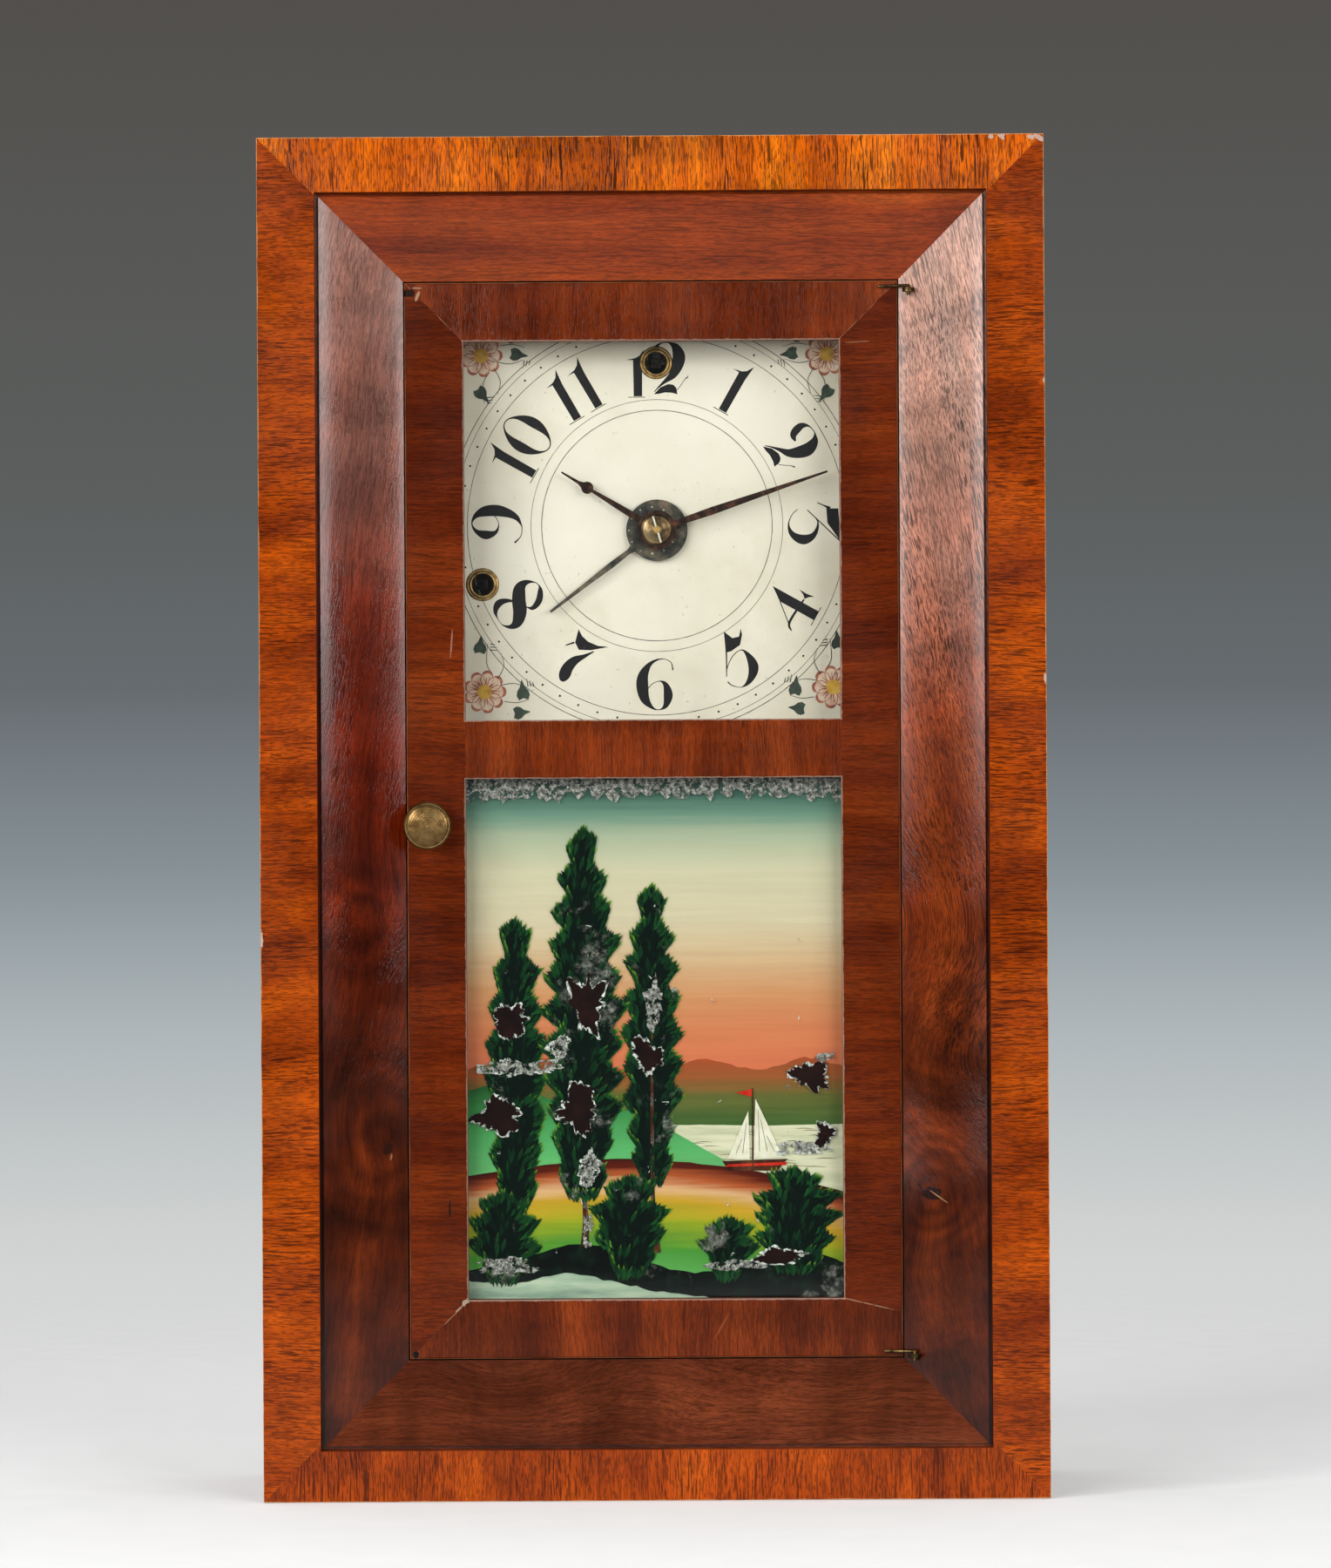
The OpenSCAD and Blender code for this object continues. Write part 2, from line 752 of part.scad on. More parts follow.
module latch_tongue() {
    color(BRASS) translate([knob_x, 0, knob_z]) slab(tongue_y, tongue_t) difference() {
        union() {
            circle(3.2);
            stroke([0, 0], [0, -tongue_l + 2.6], 5.2);
        }
        circle(shank_r + fit_gap);
    }
}

// ---------- Dial ----------

pin_in = 4;
module dial_pin_places(r, y0, t) {
    for (x = [-1, 1], z = [-1, 1])
        translate([x * (dial_w / 2 - pin_in), 0, dial_mid + z * (dial_w / 2 - pin_in)])
            slab(y0, t) circle(r, $fn = 24);
}

grommet_hole = grommet_r - 1;
module dial_plate() {
    color(CREAM) difference() {
        translate([0, 0, dial_mid]) slab(dial_y, dial_t) square(dial_w, center = true);
        bar(dial_y - 1, dial_back + 1, alarm_pipe_r + 0.4);
        bar(dial_y - 1, dial_back + 1, grommet_hole, great_at);
        bar(dial_y - 1, dial_back + 1, grommet_hole, alarm_pos);
        dial_pin_places(0.6 + fit_gap, dial_y - 1, dial_t + 2);
    }
}

// Pins that hold the dial to its rails
module dial_pins() {
    color(BRASS) {
        dial_pin_places(1.3, dial_y - 0.6, 0.6);
        dial_pin_places(0.6, dial_y - 0.1, dial_t + 5);
    }
}

module dial_rails() {
    color(PINE) difference() {
        for (z = [dial_mid - dial_w / 2, dial_mid + dial_w / 2 - dial_rail_w])
            translate([-inner_x, dial_back, z]) cube([2 * inner_x, dial_rail_t, dial_rail_w]);
        dial_pin_places(0.6 + fit_gap, dial_back - 1, 6);
    }
}

// A flanged brass eyelet around a winding hole
module grommet(at) {
    translate([dial_x + at[0], dial_y, dial_z + at[1]]) rotate([90, 0, 0]) rotate_extrude()
        polygon([[grommet_r - 1.9, 0.5], [grommet_r - 1.5, 0.8], [grommet_r - 0.6, 0.6], [grommet_r, 0.05],
            [grommet_r, 0], [grommet_hole - fit_gap, 0], [grommet_hole - fit_gap, -dial_t - 0.7],
            [grommet_r - 1.9, -dial_t - 0.7]]);
}

module winding_grommets() {
    color(BRASS) {
        grommet(great_at);
        grommet(alarm_pos);
    }
}

// ---------- Time movement ----------

plate_hi = 72;
plate_lo = -50;
ear = 7;
pillar_r = 2.5;
pillar_neck_r = 1.6;
pillar_out = 26;
pillar_his = 66;
pillar_los = -45;
screw_r = 1.1;
screw_head_r = 2.1;
screw_out = 20;

module pillar_places() {
    for (x = [-1, 1], z = [pillar_his, pillar_los]) translate([x * pillar_out, z]) children();
}

module screw_places() {
    for (x = [-1, 1], z = [plate_hi + ear / 2, plate_lo - ear / 2]) translate([x * screw_out, z])
        children();
}

module plate_outline(extra) {
    translate([-plate_w / 2, plate_lo - extra]) square([plate_w, plate_hi - plate_lo + 2 * extra]);
}

// Lightening windows of the brass plates
module plate_windows() {
    translate([-18, 20]) circle(7);
    translate([18, 20]) circle(7);
    translate([-19, -20]) circle(8);
    translate([-16, -2]) circle(4);
}

// Holes for a pivot at each arbor
module pivot_holes(front) {
    translate(great_at) circle(winding_r + pivot_gap);
    translate(second_at) circle(pivot_r + pivot_gap);
    circle((front ? centre_r : pivot_r) + pivot_gap);
    translate(third_at) circle(pivot_r + pivot_gap);
    translate(escape_at) circle((front ? thin_r : pivot_r) + pivot_gap);
}

stud_r = 1;
module time_front_plate() {
    color(BRASS) {
        layer(plate_y, plate_t) difference() {
            plate_outline(0);
            pivot_holes(true);
            pillar_places() circle(pillar_neck_r + fit_gap);
            plate_windows();
        }
        bar(hour_wheel_y - 0.9, plate_y + 0.2, stud_r, minute_wheel_pos);
        bar(verge_y - 0.2, plate_y + 0.2, 0.8, verge_at);
        bar(lever_y - 0.4, plate_y + 0.2, stud_r, lever_pos);
    }
}

module time_back_plate() {
    color(BRASS) layer(plate_out, plate_t) difference() {
        plate_outline(ear);
        pivot_holes(false);
        pillar_places() circle(pillar_neck_r + fit_gap);
        screw_places() circle(screw_r + fit_gap);
        plate_windows();
    }
}

// Shouldered pillars, riveted through both plates
module time_pillars() {
    color(BRASS) {
        layer(plate_in, plate_gap) pillar_places() circle(pillar_r);
        layer(plate_y - 0.4, plate_gap + 2 * plate_t + 0.8) pillar_places() circle(pillar_neck_r);
    }
}

module movement_blocks() {
    color(PINE) {
        for (z = [plate_hi, plate_lo - ear]) layer(plate_out + plate_t, board_y - plate_out - plate_t)
            difference() {
                translate([-plate_w / 2, z]) square([plate_w, ear]);
                screw_places() circle(screw_r + fit_gap);
            }
        layer(alarm_out, board_y - alarm_out) difference() {
            for (z = [alarm_hi, alarm_lo - ear]) translate([alarm_left, z]) square([alarm_plate_w, ear]);
            alarm_screw_places() circle(screw_r + fit_gap);
        }
    }
}

module wood_screw(y0) {
    slab(y0 - 1, 1) circle(screw_head_r);
    slab(y0 - 0.2, 6) circle(screw_r);
}

module movement_screws() {
    color(STEEL) translate([dial_x, 0, dial_z]) {
        for (x = [-1, 1], z = [plate_hi + ear / 2, plate_lo - ear / 2])
            translate([x * screw_out, 0, z]) wood_screw(plate_out);
        for (z = [alarm_hi + ear / 2, alarm_lo - ear / 2])
            translate([alarm_mid, 0, z]) wood_screw(alarm_out - alarm_plate_t);
    }
}

// Cock that carries the pendulum: a foot on the plate, an arm and a slotted nose
cock_w = 5;
cock_hi = verge_at[1] + 12;
module suspension_cock() {
    color(BRASS) {
        layer(plate_y - 1, 1) translate([-cock_w / 2, cock_hi - 5]) square([cock_w, 5]);
        layer(nose_y, plate_y - nose_y - 0.5) translate([-cock_w / 2, cock_hi - 5]) square([cock_w, 2.4]);
        layer(nose_y, nose_t) difference() {
            translate([-cock_w / 2, verge_at[1] + 0.3]) square([cock_w, cock_hi - 2.6 - verge_at[1] - 0.3]);
            translate([-0.3, verge_at[1] - 1]) square([0.6, 4]);
        }
    }
}

// The spring's outer end runs to the top right pillar and loops round it
spring_t = 0.5;
spring_in = winding_r + 0.6;
spring_out = 19;
spring_turns = 7;
spring_loop = [pillar_out, pillar_his];
module time_mainspring() {
    gap = 0.02;
    color(STEEL) layer(spring_y, spring_h) {
        translate(great_at) spiral(spring_in, spring_out, spring_turns, spring_t, 45);
        difference() {
            union() {
                stroke(great_at + polar(spring_out + spring_t / 2, 45),
                    spring_loop + polar(pillar_r + spring_t / 2 + gap, 215), spring_t);
                translate(spring_loop) circle(pillar_r + spring_t + gap);
            }
            translate(spring_loop) circle(pillar_r + gap);
        }
    }
}

// Great wheel: loose on the winding arbor, with the click's stud
click_dir = 60;
click_out = ratchet_r + 5.2;
click_at = polar(click_out, click_dir);
module great_wheel() {
    color(BRASS) {
        layer(great_y, great_t, great_at) difference() {
            wheel_blank(GREAT, great_m, LEAVES, 1.1, -90);
            circle(winding_r + pivot_gap);
            wheel_arms(GREAT, great_m, click_out + 4, 6, 3, 15);
        }
        bar(great_y + 0.4, ratchet_y + ratchet_t + 0.3, stud_r, great_at + click_at);
    }
}

// Winding arbor with its ratchet, squared at the front for the key
module winding_arbor() {
    front_stop = plate_y - 1;
    color(STEEL) {
        bar(front_stop, plate_out + plate_t + 0.5, winding_r, great_at);
        layer(winding_end, front_stop - winding_end + 0.2, great_at)
            square(square_w, center = true);
        layer(ratchet_y, ratchet_t, great_at) saw_blank(RATCHET, ratchet_r, ratchet_r - 1.6, 0.55);
    }
}

// The click's nose stands over the ratchet's tips, as when it rides from tooth to tooth
nose_r = 0.8;
click_nose = polar(ratchet_r + 0.35 + nose_r, click_dir + 40) - click_at;
module time_click() {
    color(STEEL) layer(ratchet_y, ratchet_t, great_at + click_at) difference() {
        union() {
            circle(2.2);
            stroke([0, 0], click_nose, 2 * nose_r);
        }
        circle(stud_r + pivot_gap);
    }
}

// Second wheel and its pinion on one arbor
module second_wheel() {
    phase = 90 + 180 / LEAVES;
    color(BRASS) layer(second_y, wheel_t, second_at) difference() {
        wheel_blank(SECOND, second_m, LEAVES, 1.1, -90);
        circle(1.4);
        wheel_arms(SECOND, second_m, 5, 5, 2.4, 18);
    }
    color(STEEL) {
        layer(great_y - 1, 4, second_at) pinion_blank(LEAVES, great_m, 1.5, phase);
        bar(plate_in + 0.4, plate_out - 0.4, 1.5, second_at);
        bar(plate_y - 0.2, plate_out + plate_t + 0.2, pivot_r, second_at);
    }
}

// Centre arbor: carries its pinion and wheel, and the hands in front
module centre_arbor() {
    color(STEEL) difference() {
        union() {
            bar(arbor_end, plate_in + 0.4, centre_r);
            bar(plate_in + 0.3, plate_out - 0.4, 1.6);
            bar(plate_out - 0.5, plate_out + plate_t + 0.2, pivot_r);
            layer(second_y - 1.4, 4) pinion_blank(LEAVES, second_m, 1.5, 90 + 180 / LEAVES);
        }
        hand_pin(fit_gap);
    }
}

third_dir = atan2(third_at[1], third_at[0]);
escape_dir = atan2(escape_at[1] - third_at[1], -third_at[0]);
module centre_wheel() {
    color(BRASS) layer(centre_y, wheel_t) difference() {
        wheel_blank(CENTRE, centre_m, FINE_LEAVES, 1.25, third_dir);
        circle(1.6 + fit_gap);
        wheel_arms(CENTRE, centre_m, 4.4, 5, 2.2, 10);
    }
}

module third_wheel() {
    color(BRASS) layer(third_y, wheel_t, third_at) difference() {
        wheel_blank(THIRD, third_m, FINE_LEAVES, 1.25, escape_dir);
        circle(0.9);
        wheel_arms(THIRD, third_m, 3.6, 5, 2);
    }
    color(STEEL) {
        layer(centre_y - 1.3, 4, third_at)
            pinion_blank(FINE_LEAVES, centre_m, 1.6, third_dir + 180 + 180 / FINE_LEAVES);
        bar(plate_in + 0.4, plate_out - 0.4, thin_r, third_at);
        bar(plate_y - 0.2, plate_out + plate_t + 0.2, pivot_r, third_at);
    }
}

module escape_arbor() {
    color(STEEL) {
        bar(escape_y - 0.2, plate_out - 0.4, thin_r, escape_at);
        bar(plate_out - 0.5, plate_out + plate_t + 0.2, pivot_r, escape_at);
        layer(third_y - 1.4, 4, escape_at)
            pinion_blank(FINE_LEAVES, third_m, 1.6, escape_dir + 180 + 180 / FINE_LEAVES);
    }
}

module escape_wheel() {
    color(BRASS) layer(escape_y, escape_t, escape_at) difference() {
        saw_blank(ESCAPE, escape_r, escape_r - 1.9, 0.5);
        circle(thin_r + fit_gap);
        crossings(escape_r - 3.4, 3, 4, 1.6);
    }
}

// Recoil verge: a bent strip over the escape wheel, with its crutch
pallet_tip = (escape_r + 1.4) * [sin(pallet_half), cos(pallet_half)] + escape_at - verge_at;
module verge() {
    loop_z = -26;
    arm = rod_r + 0.7;
    color(STEEL) {
        layer(verge_y, verge_w, verge_at) difference() {
            union() {
                circle(1.8);
                for (s = [-1, 1]) {
                    stroke([0, 1.1], [s * 4.4, 0.7], 0.9);
                    stroke([s * 4.4, 0.7], [s * pallet_tip[0], pallet_tip[1]], 0.9);
                }
            }
            circle(0.8 + pivot_gap);
        }
        translate([dial_x, crutch_y, dial_z + verge_at[1]]) {
            translate([0, 0, loop_z]) cylinder(h = -loop_z - 1.2, r = crutch_r, $fn = 24);
            stick([-arm, 0, loop_z], [arm, 0, loop_z], crutch_r);
            for (s = [-1, 1]) {
                translate([s * arm, 0, loop_z]) sphere(crutch_r, $fn = 24);
                stick([s * arm, 0, loop_z], [s * arm, rod_y - crutch_y - rod_r - 0.4, loop_z], crutch_r);
            }
        }
    }
}

// ---------- Pendulum ----------

module pendulum_rod() {
    drop = 6;
    tail = bob_r + 6;
    color(STEEL) translate([dial_x, rod_y, dial_z + verge_at[1]]) {
        translate([-0.15, -1.2, -drop - 1]) cube([0.3, 2.4, drop + 1]);
        translate([0, 0, -pendulum_l - tail]) cylinder(h = pendulum_l + tail - drop, r = rod_r);
    }
}

// A lens with a turned brass face
module pendulum_bob() {
    rim = 1;
    sag = bob_t / 2 - rim;
    lens_r = (bob_r * bob_r + sag * sag) / (2 * sag);
    color(BRASS) translate([dial_x, rod_y, dial_z + verge_at[1] - pendulum_l]) difference() {
        intersection() {
            translate([0, lens_r - bob_t / 2, 0]) sphere(lens_r, $fn = 180);
            translate([0, bob_t / 2 - lens_r, 0]) sphere(lens_r, $fn = 180);
            rotate([90, 0, 0]) cylinder(h = bob_t, r = bob_r, center = true);
        }
        translate([0, 0, -bob_r - 1]) cylinder(h = 2 * bob_r + 2, r = rod_r + pivot_gap);
    }
}

module rating_nut() {
    color(BRASS) translate([dial_x, rod_y, dial_z + verge_at[1] - pendulum_l - bob_r - 4.2])
        difference() {
            rotate_extrude() polygon([[0, 0], [1.6, 0], [1.8, 1.2], [3, 1.6], [3.2, 2.4], [3, 3.2],
                [1.8, 3.8], [0, 3.8]]);
            translate([0, 0, -1]) cylinder(h = 6, r = rod_r + fit_gap);
        }
}

// ---------- Motion work and hands ----------

module cannon_pinion() {
    color(STEEL) difference() {
        union() {
            bar(minute_hand_y, motion_y + 0.2, cannon_r);
            layer(motion_y, 2) pinion_blank(LEAVES, cannon_m, 1.5, 90 - minute_wheel_at);
        }
        bar(arbor_end, plate_y, centre_r + fit_gap);
    }
}

module minute_wheel() {
    dir = 90 - minute_wheel_at + 180;
    color(BRASS) translate([dial_x + minute_wheel_pos[0], 0, dial_z + minute_wheel_pos[1]])
        difference() {
            union() {
                slab(minute_wheel_y, 1) wheel_blank(MINUTE, cannon_m, LEAVES, 0.9, dir + 180 / MINUTE);
                slab(hour_wheel_y - 0.3, minute_wheel_y - hour_wheel_y + 0.4)
                    pinion_blank(LEAVES, hour_m, 1.5, dir);
            }
            slab(hour_wheel_y - 2, 9) circle(stud_r + pivot_gap);
        }
}

module hour_wheel() {
    color(BRASS) difference() {
        union() {
            layer(hour_wheel_y, hour_wheel_t) difference() {
                wheel_blank(HOUR, hour_m, LEAVES, 0.9, 90 - minute_wheel_at + 180 / HOUR);
                wheel_arms(HOUR, hour_m, 4.6, 4, 1.8, 20);
            }
            bar(hour_hand_y - 0.1, hour_wheel_y + hour_wheel_t + 0.4, hour_pipe_r);
        }
        bar(arbor_end, plate_y, cannon_r + pivot_gap);
    }
}

// A hand pointing up: a leaf that swells and tapers to its end
module leaf(from, belly, end, w0, w1, w2) {
    polygon([[w0 / 2, from], [w1 / 2, belly], [w2 / 2, end], [-w2 / 2, end], [-w1 / 2, belly],
        [-w0 / 2, from]]);
}

hour_hub = 4.4;
bulb_r = 1.9;
module hour_hand() {
    bulb = hour_l * 0.73;
    color(DARK_STEEL) hand_layer(hour_hand_y, hand_t, hour_at) difference() {
        union() {
            circle(hour_hub);
            leaf(0, hour_l * 0.42, bulb, 2.4, 1.8, 0.8);
            translate([0, bulb]) circle(bulb_r);
            leaf(bulb, bulb + bulb_r + 1.2, hour_l, 3, 1, 0.5);
        }
        circle(hour_pipe_r + fit_gap);
    }
}

minute_hub = 6;
module minute_hand() {
    color(DARK_STEEL) hand_layer(minute_hand_y, hand_t, minute_at) difference() {
        union() {
            circle(minute_hub);
            leaf(0, minute_l * 0.33, minute_l, 1.6, 2.4, 0.6);
        }
        circle(cannon_r + fit_gap);
    }
}

// Alarm disc: one piece with its hand, its pipe through the dial and its cam
module alarm_disc() {
    color(DARK_STEEL) difference() {
        union() {
            bar(disc_y, disc_y + disc_t, disc_r);
            hand_layer(alarm_hand_y, 0.6, alarm_at) {
                leaf(disc_r - 3, disc_r + 1.5, alarm_l * 0.44, 4.4, 1.5, 1.9);
                leaf(alarm_l * 0.44, alarm_l * 0.62, alarm_l, 1.9, 1.4, 0.8);
            }
            bar(disc_y, lever_y + lever_t + 0.2, alarm_pipe_r);
            hand_layer(lever_y, lever_t, alarm_at) difference() {
                circle(cam_r);
                polygon([[0, alarm_pipe_r - 0.5], [cam_r / 2, cam_r + 1], [0, cam_r + 1]]);
            }
        }
        bar(arbor_end, plate_y, hour_pipe_r + pivot_gap);
    }
}

// Domed washer and the taper pin that holds the hands on
pin_tilt = -17;
pin_len = 8.4;
washer_y = minute_hand_y - washer_t;
module hand_pin(gap) {
    translate([dial_x, washer_y - 0.75, dial_z]) rotate([0, pin_tilt, 0])
        cylinder(h = pin_len, r = 0.4 + gap, center = true, $fn = 24);
}

module hand_washer() {
    color(BRASS) difference() {
        translate([dial_x, minute_hand_y, dial_z]) rotate([90, 0, 0]) rotate_extrude()
            polygon(concat([[0, 0], [4.8, 0], [4.8, 0.25]],
                [for (a = [15:15:90]) [4.6 * cos(a), 0.2 + (washer_t - 0.2) * sin(a)]]));
        bar(arbor_end, plate_y, centre_r + fit_gap);
    }
    color(STEEL) hand_pin(0);
}

// ---------- Alarm ----------

alarm_left = alarm_pos[0] - 21;
alarm_plate_w = 41;
alarm_mid = alarm_left + alarm_plate_w / 2;
alarm_hi = alarm_pos[1] + 22;
alarm_lo = staff_pos[1] - 6;
alarm_out = alarm_plate_y + 2 * alarm_plate_t + alarm_gap;
alarm_pillar_r = 2;
alarm_pillar_in = 3.5;
rivet_r = 1.2;

// Pillar that holds the spring's outer end
alarm_loop = [alarm_left + alarm_plate_w - alarm_pillar_in, alarm_hi - alarm_pillar_in];

module alarm_screw_places() {
    for (z = [alarm_hi + ear / 2, alarm_lo - ear / 2]) translate([alarm_mid, z]) children();
}

module alarm_pillar_places() {
    for (x = [alarm_left + alarm_pillar_in, alarm_loop[0]], z = [alarm_loop[1], alarm_lo + alarm_pillar_in])
        translate([x, z]) children();
}

// Both plates of the alarm
module alarm_plate(y0, extra) {
    layer(y0, alarm_plate_t) difference() {
        translate([alarm_left, alarm_lo - extra])
            square([alarm_plate_w, alarm_hi - alarm_lo + 2 * extra]);
        translate(alarm_pos) circle(winding_r + pivot_gap);
        translate(staff_pos) circle(thin_r + pivot_gap);
        alarm_pillar_places() circle(rivet_r + fit_gap);
        if (extra > 0) alarm_screw_places() circle(screw_r + fit_gap);
    }
}

module alarm_plates() {
    color(BRASS) {
        alarm_plate(alarm_plate_y, 0);
        alarm_plate(alarm_out - alarm_plate_t, ear);
    }
}

module alarm_pillars() {
    color(BRASS) {
        layer(alarm_plate_y + alarm_plate_t, alarm_gap) alarm_pillar_places() circle(alarm_pillar_r);
        layer(alarm_plate_y - 0.3, alarm_out - alarm_plate_y + 0.6) alarm_pillar_places() circle(rivet_r);
    }
}

alarm_spring_y = alarm_wheel_y + 5;
alarm_spring_r = 13;
alarm_spring_h = 9;
alarm_spring_turns = 5;
module alarm_mainspring() {
    gap = 0.02;
    loop = alarm_loop - alarm_pos;
    dir = atan2(loop[1], loop[0]);
    color(STEEL) layer(alarm_spring_y, alarm_spring_h, alarm_pos) {
        spiral(spring_in, alarm_spring_r, alarm_spring_turns, spring_t, dir - 60);
        difference() {
            union() {
                stroke(polar(alarm_spring_r + spring_t / 2, dir - 60),
                    loop + polar(alarm_pillar_r + spring_t / 2 + gap, dir - 120), spring_t);
                translate(loop) circle(alarm_pillar_r + spring_t + gap);
            }
            translate(loop) circle(alarm_pillar_r + gap);
        }
    }
}

// Alarm arbor with its ratchet, squared for the key
alarm_ratchet_y = alarm_wheel_y + 1.6;
module alarm_arbor() {
    front_stop = alarm_plate_y - 1;
    color(STEEL) {
        bar(front_stop, alarm_out + 0.5, winding_r, alarm_pos);
        layer(winding_end, front_stop - winding_end + 0.2, alarm_pos) square(square_w, center = true);
        layer(alarm_ratchet_y, 1, alarm_pos) saw_blank(RATCHET, 5.6, 4.4, 0.55);
    }
}

// Alarm wheel, with the click's spring tongue standing over the ratchet
module alarm_wheel() {
    color(BRASS) {
        layer(alarm_wheel_y, 1.2, alarm_pos) difference() {
            saw_blank(ALARM, alarm_wheel_r, alarm_wheel_r - 2, 0.5);
            circle(winding_r + pivot_gap);
        }
        layer(alarm_wheel_y + 1, 1.4, alarm_pos) stroke([-6.6, 1.6], [-6.8, -2.4], 1.4);
    }
}

// Hammer: a staff with two pallets, a wire and its head, and a tail for the lever
pallet_turn = 40;
hammer_tail = [6.2, 0.4];
module alarm_hammer() {
    far = alarm_wheel_r + 2;
    tip = [far * sin(pallet_turn), staff_drop - far * cos(pallet_turn)];
    bend = [0.6 * tip[0], 0.8];
    color(STEEL) {
        bar(lever_y, alarm_out + 0.2, thin_r, staff_pos);
        layer(alarm_wheel_y - 0.5, 2.2, staff_pos) {
            circle(1.8);
            for (s = [-1, 1]) {
                stroke([0, 0], [s * bend[0], bend[1]], 1);
                stroke([s * bend[0], bend[1]], [s * tip[0], tip[1]], 1);
            }
        }
        layer(lever_y, lever_t, staff_pos) {
            circle(1.7);
            stroke([0, 0], hammer_tail, 1);
        }
        bar(hammer_y - 0.8, hammer_y + 0.8, 1.7, staff_pos);
        translate([dial_x + staff_pos[0], hammer_y, dial_z + head_pos[1]])
            cylinder(h = hammer_l - 1, r = hammer_wire_r, $fn = 24);
        translate([dial_x + head_pos[0], hammer_y, dial_z + head_pos[1]]) rotate([0, 90, 0])
            cylinder(h = 2 * hammer_head_r, r = 2.4, center = true);
    }
}

// Lever that the alarm cam lets fall
lever_tip = [-(cam_r + 1.25), -1.5];
lever_tail = [-44, -27.2];
module alarm_lever() {
    color(STEEL) layer(lever_y, lever_t) difference() {
        union() {
            translate(lever_pos) circle(2.4);
            stroke(lever_pos, lever_tip, 1.6);
            stroke(lever_pos, lever_tail, 1.6);
        }
        translate(lever_pos) circle(stud_r + pivot_gap);
    }
}

// Cup of the bell: an elliptical wall, open to the front
module bell() {
    color(BRASS) translate([dial_x + bell_pos[0], bell_y, dial_z + bell_pos[1]]) rotate([-90, 0, 0])
        rotate_extrude() difference() {
            polygon(concat([[0, 0]], [for (a = [0:9:90]) [bell_r * cos(a), bell_d * sin(a)]]));
            polygon(concat([[0, -1]], [[bell_r - bell_t, -1]],
                [for (a = [0:9:90]) [(bell_r - bell_t) * cos(a), (bell_d - bell_t) * sin(a)]]));
            translate([0, bell_d - 2 * bell_t]) square([post_r + fit_gap, 3 * bell_t]);
        }
}

// Post from the back board, shouldered behind the bell, with its nut inside
post_r = 1.8;
module bell_post() {
    seat = bell_y + bell_d;
    color(STEEL) translate([dial_x + bell_pos[0], 0, dial_z + bell_pos[1]]) {
        slab(seat, board_y - seat) circle(3.2);
        slab(seat - bell_t - 3, bell_t + 4) circle(post_r);
        slab(seat - bell_t - 2.6, 2.4) circle(3.4, $fn = 6);
    }
}

// ---------- Assembly ----------

side_left();
side_right();
top_board();
bottom_board();
back_board();
border_strips();
ogee_top();
ogee_bottom();
ogee_left();
ogee_right();
dial_rails();
movement_blocks();
dial_plate();
dial_pins();
winding_grommets();
hinge_eyes();
movement_screws();
time_front_plate();
time_back_plate();
time_pillars();
suspension_cock();
time_mainspring();
centre_arbor();
centre_wheel();
cannon_pinion();
minute_hand();
hand_washer();
second_wheel();
great_wheel();
winding_arbor();
time_click();
third_wheel();
escape_arbor();
escape_wheel();
minute_wheel();
hour_wheel();
hour_hand();
alarm_disc();
verge();
pendulum_rod();
pendulum_bob();
rating_nut();
alarm_plates();
alarm_pillars();
alarm_mainspring();
alarm_arbor();
alarm_wheel();
alarm_hammer();
alarm_lever();
bell();
bell_post();
door_stile_left();
door_stile_right();
door_rails();
dial_glass();
tablet_glass();
glazing_strips();
hinge_wires();
knob();
latch_tongue();
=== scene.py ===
import json
import math
import random

import bmesh
import bpy
from mathutils import Matrix, Vector


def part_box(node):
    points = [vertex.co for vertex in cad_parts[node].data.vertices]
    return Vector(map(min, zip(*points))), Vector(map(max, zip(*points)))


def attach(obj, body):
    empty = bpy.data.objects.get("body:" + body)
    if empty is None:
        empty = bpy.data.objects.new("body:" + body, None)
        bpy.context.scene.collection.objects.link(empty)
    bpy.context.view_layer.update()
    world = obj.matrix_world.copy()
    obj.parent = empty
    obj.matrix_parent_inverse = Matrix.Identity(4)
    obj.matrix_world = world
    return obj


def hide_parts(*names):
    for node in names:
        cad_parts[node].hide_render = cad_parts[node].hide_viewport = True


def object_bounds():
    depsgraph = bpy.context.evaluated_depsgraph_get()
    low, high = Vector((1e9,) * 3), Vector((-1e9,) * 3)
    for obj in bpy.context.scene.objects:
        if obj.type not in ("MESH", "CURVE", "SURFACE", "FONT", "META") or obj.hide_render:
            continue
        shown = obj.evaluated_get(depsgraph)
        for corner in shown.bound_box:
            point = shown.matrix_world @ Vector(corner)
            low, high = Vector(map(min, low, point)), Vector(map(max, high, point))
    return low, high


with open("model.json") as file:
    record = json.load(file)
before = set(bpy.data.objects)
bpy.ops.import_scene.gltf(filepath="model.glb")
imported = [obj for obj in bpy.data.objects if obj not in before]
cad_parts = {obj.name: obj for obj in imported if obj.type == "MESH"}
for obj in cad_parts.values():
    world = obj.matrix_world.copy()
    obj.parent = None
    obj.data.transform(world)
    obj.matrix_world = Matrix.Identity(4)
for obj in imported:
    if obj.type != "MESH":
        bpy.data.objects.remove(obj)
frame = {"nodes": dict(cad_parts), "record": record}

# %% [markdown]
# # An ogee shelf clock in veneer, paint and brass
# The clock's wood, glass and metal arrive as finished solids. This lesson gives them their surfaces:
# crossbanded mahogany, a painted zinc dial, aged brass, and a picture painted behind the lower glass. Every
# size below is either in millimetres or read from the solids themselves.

MM = 0.001
nodes = frame["nodes"]
cad_low, cad_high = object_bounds()
case_w = cad_high.x - cad_low.x
case_h = cad_high.z - cad_low.z
HUB_Z = 296.9 * MM
